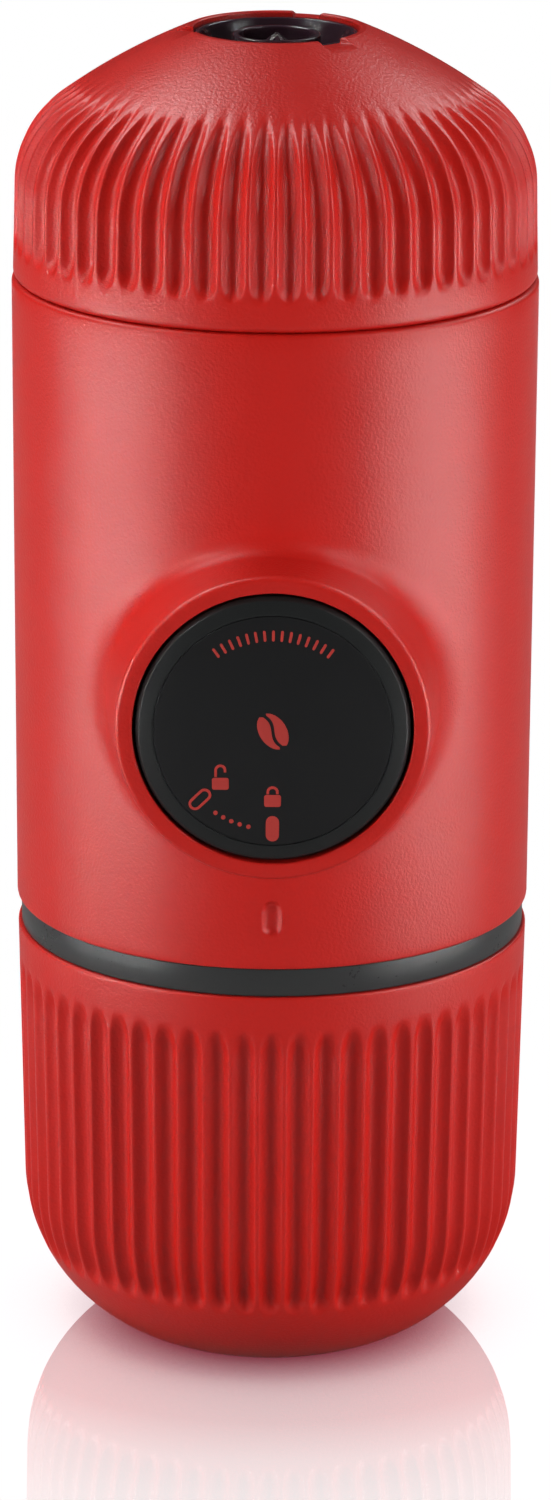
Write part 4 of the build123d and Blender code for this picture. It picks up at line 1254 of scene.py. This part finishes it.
@dataclass
class Head(FlutedShell):
    """The domed head that unscrews with the outlet in its top."""

    bottom: float = 129.0
    height: float = 29.0
    base_r: float = 30.55
    waist_r: float = 30.3
    waist_rise: float = 10.8
    shoulder_r: float = 12.0
    shoulder_deg: float = 54.0
    lip_r: float = 10.3
    opening_r: float = 9.6
    lip_depth: float = 1.6
    wall: float = 2.2
    edge: float = 0.9
    flute_rise: float = 6.0
    flute_top_deg: float = 36.0
    flute_ends: tuple[float, float] = (1.2, 0.6)
    stretch: float = 3.2
    notch_deg: float = 20.0
    notch_depth: float = 0.6
    notch_r: float = 11.1
    notch_turn: float = -51.0
    turn: float = -87.0
    wall_rows: Rows = Rows(1.9, 2.4, 0.35)
    shoulder_rows: Rows = Rows(1.8, 0.6, 0.4)

    def dome(self, inset: float) -> np.ndarray:
        """Returns radius and height from the lower edge up the wall, over the shoulder and up the cone."""
        waist = self.bottom + self.waist_rise
        full = math.radians(self.shoulder_deg)
        length = full * self.shoulder_r
        low, high = self.bottom + self.flute_rise - self.flute_ends[0], length + self.flute_ends[1]
        wall_marks, shoulder_marks = ((), ()) if inset else ((low,), (high,))
        heights = self.wall_rows.between(self.bottom, waist, *wall_marks)[:-1]
        share = (heights - self.bottom) / self.waist_rise
        wall = np.column_stack((self.base_r - inset + (self.waist_r - self.base_r) * share, heights))
        radius = self.shoulder_r - inset
        arc = self.shoulder_rows.between(0.0, length, *shoulder_marks) / self.shoulder_r
        across = self.waist_r - self.shoulder_r + radius * np.cos(arc)
        shoulder = np.column_stack((across, waist + radius * np.sin(arc)))
        start = shoulder[-1]
        end = np.array((self.lip_r - inset * math.cos(full), self.bottom + self.height - inset * math.sin(full)))
        chord = end - start
        length = np.linalg.norm(chord)
        tangent = np.array((-math.sin(full), math.cos(full)))
        bend = 2 * math.acos(float(np.clip(chord @ tangent / length, -1, 1)))
        cross = chord[0] * tangent[1] - chord[1] * tangent[0]
        side = np.array((-chord[1], chord[0])) / length * (-1 if cross > 0 else 1)
        sag = length / 2 * math.tan(bend / 4) if bend > 1e-4 else 0.0
        shares = np.linspace(0, 1, 7)[1:]
        if not inset:
            shares = np.concatenate((np.arange(0.35, 3.2, 0.35) / length, np.linspace(3.6 / length, 1, 11)))
        cone = [start + chord * share - side * sag * 4 * share * (1 - share) for share in shares]
        return np.vstack((wall, shoulder, cone))

    def notched(self, points: np.ndarray, azimuths: np.ndarray) -> np.ndarray:
        """Lowers the lip where its three notches are."""
        third = 2 * math.pi / 3
        off = np.mod(azimuths - math.radians(self.notch_turn) + third / 2, third) - third / 2
        edge = math.radians(self.notch_deg / 2)
        share = np.clip((edge - np.abs(off)) / math.radians(1.0) + 0.5, 0, 1)
        limit = self.bottom + self.height - self.notch_depth * share
        near = np.hypot(points[:, 0], points[:, 1]) < self.notch_r + 0.4
        points = points.copy()
        points[:, 2] = np.where(near & (share > 0), np.minimum(points[:, 2], limit), points[:, 2])
        return points

    def build(self, rule: Rule) -> None:
        """Makes the head's shell."""
        outer, inner = self.dome(0.0), self.dome(self.wall)
        top = self.bottom + self.height
        under = top - self.lip_depth
        foot = rounded([(inner[0][0], self.bottom, 0), (outer[0][0], self.bottom, self.edge), (*outer[2], 0)], steps=6)
        lip = rounded(
            [(*outer[-2], 0), (self.lip_r, top, 0.45), (self.opening_r, top, 0.22), (self.opening_r, under, 0)], steps=5
        )
        outside = np.vstack((foot[1:-1], outer[3:-1], lip[1:-1]))
        inner = inner[inner[:, 0] > self.opening_r + 0.2]
        inside = np.vstack(([[self.opening_r, under], [self.opening_r, inner[-1][1] + 0.1]], inner[::-1]))
        over = self.waist_rise + self.shoulder_r * math.sin(math.radians(self.flute_top_deg))
        straight = (self.bottom + self.flute_rise, self.bottom + over)
        head = self.shell("head_dome", outside, inside, straight, rule, self.notched)
        fit(head, "head_body", "red_shell", "head_shell")


@dataclass
class Outlet:
    """The glossy bowl in the head's top, the nozzle that stands in it and the legs across its mouth."""

    skirt: tuple[float, float] = (24.2, 26.2)
    skirt_bottom: float = 115.0
    flange_r: float = 28.0
    flange: tuple[float, float] = (129.6, 134.65)
    plate_bottom: float = 132.65
    duct_r: float = 4.0
    bowl_floor: float = 152.4
    rim: float = 157.4
    tower_r: float = 9.55
    tower_wall: float = 0.6
    floor_r: float = 7.4
    nozzle_r: float = 5.1
    nozzle_gap: float = 0.05
    nozzle_wall: float = 0.7
    seat: float = 146.0
    nozzle_top: float = 157.3
    legs: int = 10
    leg_width: float = 0.45
    leg_height: float = 1.0
    leg_rise: float = 3.6

    def build(self, repeater: Rule) -> None:
        """Makes the liner, the nozzle and its legs."""
        socket = self.nozzle_r + self.nozzle_gap
        profile = rounded(
            [
                (self.skirt[0], self.skirt_bottom, 0.4),
                (self.skirt[1], self.skirt_bottom, 0.5),
                (self.skirt[1], self.flange[0], 0.3),
                (self.flange_r, self.flange[0], 0.2),
                (self.flange_r, self.flange[1], 0.8),
                (self.tower_r, self.flange[1], 1.5),
                (self.tower_r, self.rim, 0.25),
                (self.tower_r - self.tower_wall, self.rim, 0.25),
                (self.floor_r, self.bowl_floor, 1.1),
                (socket, self.bowl_floor, 0.1),
                (socket, self.seat, 0),
                (self.duct_r, self.seat, 0),
                (self.duct_r, self.plate_bottom, 0.3),
                (self.skirt[0], self.plate_bottom, 0.8),
            ],
            closed=True,
            steps=5,
        )
        liner = turned("outlet_liner", profile, 160, closed=True, sharp=40)
        fit(dress(liner, LINER_GLOSS), "head_body", "gloss_liner", "head_liner")
        inner = self.nozzle_r - self.nozzle_wall
        corners = [
            (self.nozzle_r, self.seat, 0),
            (self.nozzle_r, self.nozzle_top, 0.25),
            (inner, self.nozzle_top, 0.25),
            (inner, self.seat, 0),
        ]
        nozzle = turned("nozzle_tube", rounded(corners, closed=True), 96, closed=True, sharp=40)
        spout = dress(joined("spout_nozzle", [nozzle, self.leg_ring(repeater)]), LINER_GLOSS)
        fit(spout, "head_body", "gloss_liner", "nozzle")

    def leg_ring(self, repeater: Rule) -> bpy.types.Object:
        """Returns the legs that rise from the nozzle's wall to the middle of its mouth."""
        foot = self.nozzle_top - self.leg_rise
        reach = self.nozzle_r - self.nozzle_wall / 2
        section = rounded(
            [
                (0.0, self.nozzle_top - self.leg_height, 0),
                (reach, foot - self.leg_height, 0),
                (reach, foot, 0),
                (1.2, self.nozzle_top - 0.75, 1.0),
                (0.0, self.nozzle_top, 0),
            ],
            steps=3,
        )
        hull = Hull()
        sides = []
        for side in (-self.leg_width / 2, self.leg_width / 2):
            sides.append(hull.ring(np.column_stack((section[:, 0], np.full(len(section), side), section[:, 1]))))
        hull.bridges(sides)
        for side in sides:
            hull.lid(side)
        leg = hull.build("nozzle_legs")
        leg.data.transform(Matrix.Rotation(math.radians(-90), 4, "Z"))
        return repeater.apply(leg, LINER_GLOSS, Count=self.legs, Step=2 * math.pi / self.legs)


@dataclass(frozen=True)
class Screw:
    """A pan-head screw with a hexagonal socket, which stands on the stack's axis."""

    shank: float
    head_r: float
    head_height: float

    def build(self, name: str, tip: float, seat: float) -> bpy.types.Object:
        """Makes the screw.

        Args:
            name: The object's name.
            tip: Height of the shank's end.
            seat: Height of the underside of the head.

        Returns:
            The object.
        """
        azimuths = np.radians(np.arange(0, 360, 10))
        head, top = self.head_height, seat + self.head_height
        hex_r = self.head_r * 0.52
        hexagon = hex_r * math.cos(math.pi / 6) / np.cos(np.mod(azimuths, math.pi / 3) - math.pi / 6)
        dome = [(0.0, tip), (self.shank * 0.6, tip), (self.shank, tip + 0.5), (self.shank, seat), (self.head_r, seat)]
        for share, rise in ((1.0, 0.55), (0.97, 0.75), (0.9, 0.9), (0.8, 0.98), (0.7, 1.0)):
            dome.append((self.head_r * share, seat + head * rise))
        hull = Hull()
        rings = [hull.ring(round_ring(radius, height, azimuths)) for radius, height in dome]
        for height, size in ((top, 1.0), (top - 0.75 * head, 0.97)):
            across = size * hexagon
            rings.append(hull.ring(level(across * np.cos(azimuths), across * np.sin(azimuths), height)))
        rings.append(hull.ring(round_ring(0.0, top - 0.85 * head, azimuths)))
        hull.bridges(rings)
        return hull.build(name, sharp=32)


@dataclass
class PumpWorks:
    """The pump's springs and the screws that hold its frame."""

    spring_r: float = 11.8
    spring_wire: float = 0.7
    spring_front: float = 35.65
    spring_back: float = 10.75
    spring_turns: float = 6.0
    valve_coil_r: float = 1.6
    valve_wire: float = 0.25
    valve_turns: float = 3.0
    frame_screw: Screw = Screw(1.2, 2.4, 1.5)

    def build(self, winder: Rule, gridder: Rule) -> None:
        """Makes both springs and the frame's screws."""
        fixed = (0.0, -self.spring_back * MM, KNOB_HEIGHT * MM)
        pushed = (0.0, -self.spring_front * MM, KNOB_HEIGHT * MM)
        spring = winder.apply(
            blank("return_coil"), BRIGHT_STEEL, Turns=self.spring_turns, Radius=self.spring_r * MM,
            Length=(self.spring_front - self.spring_back) * MM, Wire=self.spring_wire * MM,
            Tilt=(math.pi / 2, 0.0, 0.0), Centre=fixed,
        )
        self.stretch(spring, "piston_body", fixed, pushed, "return_spring")
        low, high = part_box("outlet_valve_spring")
        middle = (low + high) / 2
        pushed = (middle.x, middle.y, low.z + self.valve_wire * MM)
        spring = winder.apply(
            blank("valve_coil"), BRIGHT_STEEL, Turns=self.valve_turns, Radius=self.valve_coil_r * MM,
            Length=high.z - low.z - 2 * self.valve_wire * MM, Wire=self.valve_wire * MM, Tilt=(0.0, 0.0, 0.0),
            Centre=pushed,
        )
        self.stretch(spring, "ball_body", (middle.x, middle.y, high.z), pushed, "outlet_valve_spring")
        low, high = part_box("frame_screws")
        middle = (low + high) / 2
        screw = self.frame_screw.build("frame_screw_set", low.z / MM, high.z / MM - self.frame_screw.head_height)
        head = 2 * self.frame_screw.head_r * MM
        gridder.apply(
            screw, BRIGHT_STEEL, Columns=2, Rows=2, Width=high.x - low.x - head, Length=high.y - low.y - head,
            Centre=(middle.x, middle.y, 0.0),
        )
        fit(screw, "main_body", "steel", "frame_screws")

    @staticmethod
    def stretch(spring: bpy.types.Object, body: str, fixed: Point, pushed: Point, node: str) -> None:
        """Shades a wound coil smooth, bakes its placement into its points, hides the plain solid it stands for and logs
        its size.

        Args:
            spring: The wound coil.
            body: The body that pushes it.
            fixed: The end that stays with the pump; not used.
            pushed: The end that goes with the body; not used.
            node: The plain solid it stands for.
        """
        face_up(spring.data, 60)
        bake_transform(spring)
        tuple(fixed)
        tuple(pushed)
        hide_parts(node)
        log.info("%s: %d faces between the pump and %s", spring.name, len(spring.data.polygons), body)


@dataclass(frozen=True)
class Screen:
    """A perforated steel disc as thick as the plain solid it stands for."""

    name: str
    node: str
    body: str
    radius: float
    pitch: float
    hole: float
    inner_margin: float
    outer_margin: float = 2.2

    def build(self, perforator: Rule) -> None:
        """Makes the disc at the solid's height."""
        low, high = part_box(self.node)
        disc = perforator.apply(
            blank(self.name), BRIGHT_STEEL, Radius=self.radius * MM, Thickness=high.z - low.z, Pitch=self.pitch * MM,
            Hole=self.hole * MM, Inner_Margin=self.inner_margin * MM, Outer_Margin=self.outer_margin * MM,
            Level=low.z,
        )
        disc.data.polygons.foreach_set("use_smooth", [False] * len(disc.data.polygons))
        fit(disc, self.body, "steel", self.node)


SCREENS = (
    Screen("shower_plate", "shower_screen", "main_body", 19.5, 2.1, 0.5, 3.6),
    Screen("basket_mesh", "basket_screen", "basket_body", 21.4, 1.45, 0.32, 0.0),
)
SHOWER_SCREW = Screw(1.5, 3.0, 1.0)


def build_screens(perforator: Rule) -> None:
    """Makes the screens on each side of the ground coffee, and the screw in the lower one."""
    for screen in SCREENS:
        screen.build(perforator)
    low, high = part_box("screen_screw")
    screw = SHOWER_SCREW.build("shower_screw", low.z / MM, high.z / MM - SHOWER_SCREW.head_height)
    fit(dress(screw, BRIGHT_STEEL), "main_body", "steel", "screen_screw")


PLAIN_NODES: dict[Plastic, tuple[str, ...]] = {
    SILICONE: ("tank_seal", "inlet_valve", "air_vent_valve", "shower_gasket", "head_gasket", "nozzle_valve"),
    INNER_GREY: (
        "lower_chassis", "inlet_pipe", "pump_frame", "pump_cylinder", "cylinder_gland", "piston_rod", "outlet_bush",
        "brew_head",
    ),
    SEAL_BLACK: ("rod_seal", "piston_seal"),
    BRIGHT_STEEL: ("knob_retainer", "outlet_valve_ball"),
    KNOB_BLACK: ("scoop", "filter_basket"),
}


@dataclass(frozen=True)
class Lamp:
    """A soft rectangular light panel that looks at the maker.

    Attributes:
        name: The light's name.
        azimuth: Direction it stands in, in degrees from the camera's side, positive to the right.
        elevation: Height of that direction in degrees.
        distance: Its distance in metres.
        size: Width and height in metres.
        power: Power in watts.
        gloss: Whether it shows in highlights and lights no colour; otherwise it only lights the colour.
    """

    name: str
    azimuth: float
    elevation: float
    distance: float
    size: tuple[float, float]
    power: float
    gloss: bool = False


LAMPS = (
    Lamp("left_panel", -68.0, 4.0, 0.60, (0.50, 0.20), 3.1),
    Lamp("right_panel", 67.0, 4.0, 0.60, (0.50, 0.20), 3.35),
    Lamp("front_panel", -10.0, 15.0, 1.2, (0.50, 0.50), 0.66),
    Lamp("top_panel", -90.0, 68.0, 0.67, (0.50, 0.50), 2.7),
    Lamp("back_panel", 176.0, 12.0, 0.70, (0.40, 0.30), 2.9),
    Lamp("left_rear_panel", -116.0, 58.5, 0.86, (0.40, 0.40), 4.4, gloss=True),
    Lamp("right_rear_panel", 128.0, 43.0, 0.86, (0.40, 0.40), 2.8, gloss=True),
    Lamp("left_strip", -68.0, -3.0, 0.156, (0.13, 0.11), 0.19, gloss=True),
    Lamp("right_strip", 68.0, -3.0, 0.156, (0.13, 0.11), 0.18, gloss=True),
    Lamp("left_shoulder_strip", -60.0, 36.0, 0.24, (0.10, 0.07), 0.11, gloss=True),
    Lamp("right_shoulder_strip", 60.0, 36.0, 0.24, (0.10, 0.07), 0.11, gloss=True),
)


@dataclass
class Studio:
    """The pale floor, the soft lights and the camera.

    Attributes:
        target: The point that the camera looks at, in millimetres.
        distance: The camera's distance from it in millimetres.
        elevation: The camera's height above the horizon in degrees.
        roll: The camera's turn round its own line of sight in radians.
        lens: Focal length in millimetres.
        shift: Sideways shift of the picture.
        aim: The point that the lights look at, in metres.
        floor_half: Half the floor's width in metres.
        shadow: The floor's painted contact shadow: its colour seen by the camera, by the share of open sky above each
            point.
        mirror: Weight of the floor's painted fading mirror image and its pink glow, by ten times the distance from the
            middle in metres.
    """

    target: Point = (0.0, 0.0, 70.84)
    distance: float = 752.4
    elevation: float = 17.33
    roll: float = 0.0055
    lens: float = 151.56
    shift: float = 0.0018
    aim: Point = (0.0, 0.0, 0.080)
    floor_half: float = 6.0
    shadow: tuple[tuple[float, Colour], ...] = (
        (0.08, (0.10, 0.05, 0.07)), (0.34, (0.50, 0.43, 0.46)), (0.50, (0.90, 0.87, 0.88)), (0.70, (1.0, 1.0, 1.0)),
    )
    mirror: tuple[tuple[float, float], ...] = (
        (0.25, 0.50), (0.37, 0.46), (0.48, 0.29), (0.64, 0.17), (0.85, 0.06), (1.0, 0.0),
    )

    def build(self) -> None:
        """Makes the floor, the world, the lights and the camera."""
        self.floor()
        self.world()
        for lamp in LAMPS:
            self.panel(lamp)
        self.camera()

    def floor(self) -> None:
        """Lays a floor that the camera sees white, with a painted contact shadow and a fading mirror image that carries
        a painted pink glow.

        Everything else sees a plain grey floor.
        """
        mesh = bpy.data.meshes.new("studio_floor")
        half = self.floor_half
        mesh.from_pydata([(-half, -half, 0), (half, -half, 0), (half, half, 0), (-half, half, 0)], [], [(0, 1, 2, 3)])
        floor = linked("studio_floor", mesh)
        made = bpy.data.materials.new("studio_floor")
        sheet = Sheet.opened(made)
        open_sky = sheet.out("ShaderNodeAmbientOcclusion", {"Distance": 0.035}, "AO", samples=12)
        # Painted shadow: the camera sees an emission that is darker and pinker where less open sky is above the floor,
        # not a shadow cast by the lamps.
        pale = sheet.out("ShaderNodeEmission", {"Color": sheet.ramp(open_sky, self.shadow), "Strength": 1.0})
        image = sheet.out("ShaderNodeBsdfGlossy", {"Color": (1, 1, 1, 1), "Roughness": 0.0})
        # Painted reflection: a faint pink glow added to the floor's mirror image, standing in for red light reflected
        # off the maker.
        painted_pink_glow = sheet.out("ShaderNodeEmission", {"Color": (1.0, 0.08, 0.16, 1), "Strength": 0.26})
        where = sheet.out("ShaderNodeTexCoord", output="Object")
        away = sheet.out("ShaderNodeVectorMath", {0: where}, "Value", operation="LENGTH")
        share = sheet.ramp(sheet.times(away, 10.0), [(spot, (weight,) * 3) for spot, weight in self.mirror])
        mirror = sheet.out("ShaderNodeAddShader", {0: image, 1: painted_pink_glow})
        seen = sheet.out("ShaderNodeMixShader", {0: share, 1: pale, 2: mirror})
        plain = sheet.out("ShaderNodeBsdfDiffuse", {"Color": (0.30, 0.30, 0.30, 1)})
        camera_ray = sheet.out("ShaderNodeLightPath", output="Is Camera Ray")
        sheet.close(sheet.out("ShaderNodeMixShader", {0: camera_ray, 1: plain, 2: seen}))
        mesh.materials.append(made)

    def world(self) -> None:
        """Shows white to the camera and in mirror images, and lights the part only faintly."""
        world = bpy.data.worlds.new("studio_world")
        sheet = Sheet.opened(world)
        path = sheet.add("ShaderNodeLightPath").outputs
        seen = sheet.sum("MAXIMUM", path["Is Camera Ray"], path["Is Transmission Ray"])
        seen = sheet.sum("MAXIMUM", seen, path["Is Singular Ray"])
        strength = sheet.out("ShaderNodeMapRange", {"Value": seen, 3: 0.03, 4: 1.0})
        sheet.close(sheet.out("ShaderNodeBackground", {"Color": (1, 1, 1, 1), "Strength": strength}), "World")
        bpy.context.scene.world = world

    def panel(self, lamp: Lamp) -> None:
        """Hangs one light panel."""
        data = bpy.data.lights.new(lamp.name, "AREA")
        data.shape = "RECTANGLE"
        data.size, data.size_y = lamp.size
        data.energy = lamp.power
        data.cycles.use_multiple_importance_sampling = False
        made = linked(lamp.name, data)
        turn, rise = math.radians(lamp.azimuth), math.radians(lamp.elevation)
        way = Vector((math.sin(turn) * math.cos(rise), -math.cos(turn) * math.cos(rise), math.sin(rise)))
        made.location = Vector(self.aim) + way * lamp.distance
        made.rotation_mode = "QUATERNION"
        made.rotation_quaternion = (-way).to_track_quat("-Z", "Y")
        made.visible_glossy, made.visible_diffuse, made.visible_camera = lamp.gloss, not lamp.gloss, False

    def camera(self) -> None:
        """Sets the camera up in front of the knob, looking a little down."""
        data = bpy.data.cameras.new("camera")
        data.lens, data.shift_x = self.lens, self.shift
        data.clip_start, data.clip_end = 0.01, 30.0
        camera = linked("camera", data)
        tilt = math.radians(self.elevation)
        back = Vector((0.0, -math.cos(tilt), math.sin(tilt)))
        camera.location = Vector(self.target) * MM + back * self.distance * MM
        camera.rotation_mode = "QUATERNION"
        camera.rotation_quaternion = (-back).to_track_quat("-Z", "Y") @ Quaternion((0, 0, 1), self.roll)
        bpy.context.scene.camera = camera


def main() -> None:
    """Builds every piece and the studio."""
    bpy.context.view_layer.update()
    bpy.context.scene.view_settings.view_transform = "Standard"
    carver, repeater, winder = flute_rule(), round_rule(), coil_rule()
    cup = Cup()
    cup.build(carver)
    Tank().build(cup, winder, repeater)
    BodyShell().build()
    Knob().build(repeater)
    Head().build(carver)
    Outlet().build(repeater)
    PumpWorks().build(winder, grid_rule())
    build_screens(mesh_disc_rule())
    for finish, nodes in PLAIN_NODES.items():
        for node in nodes:
            dress(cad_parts[node], finish)
    Studio().build()


if __name__ == "__main__":
    main()
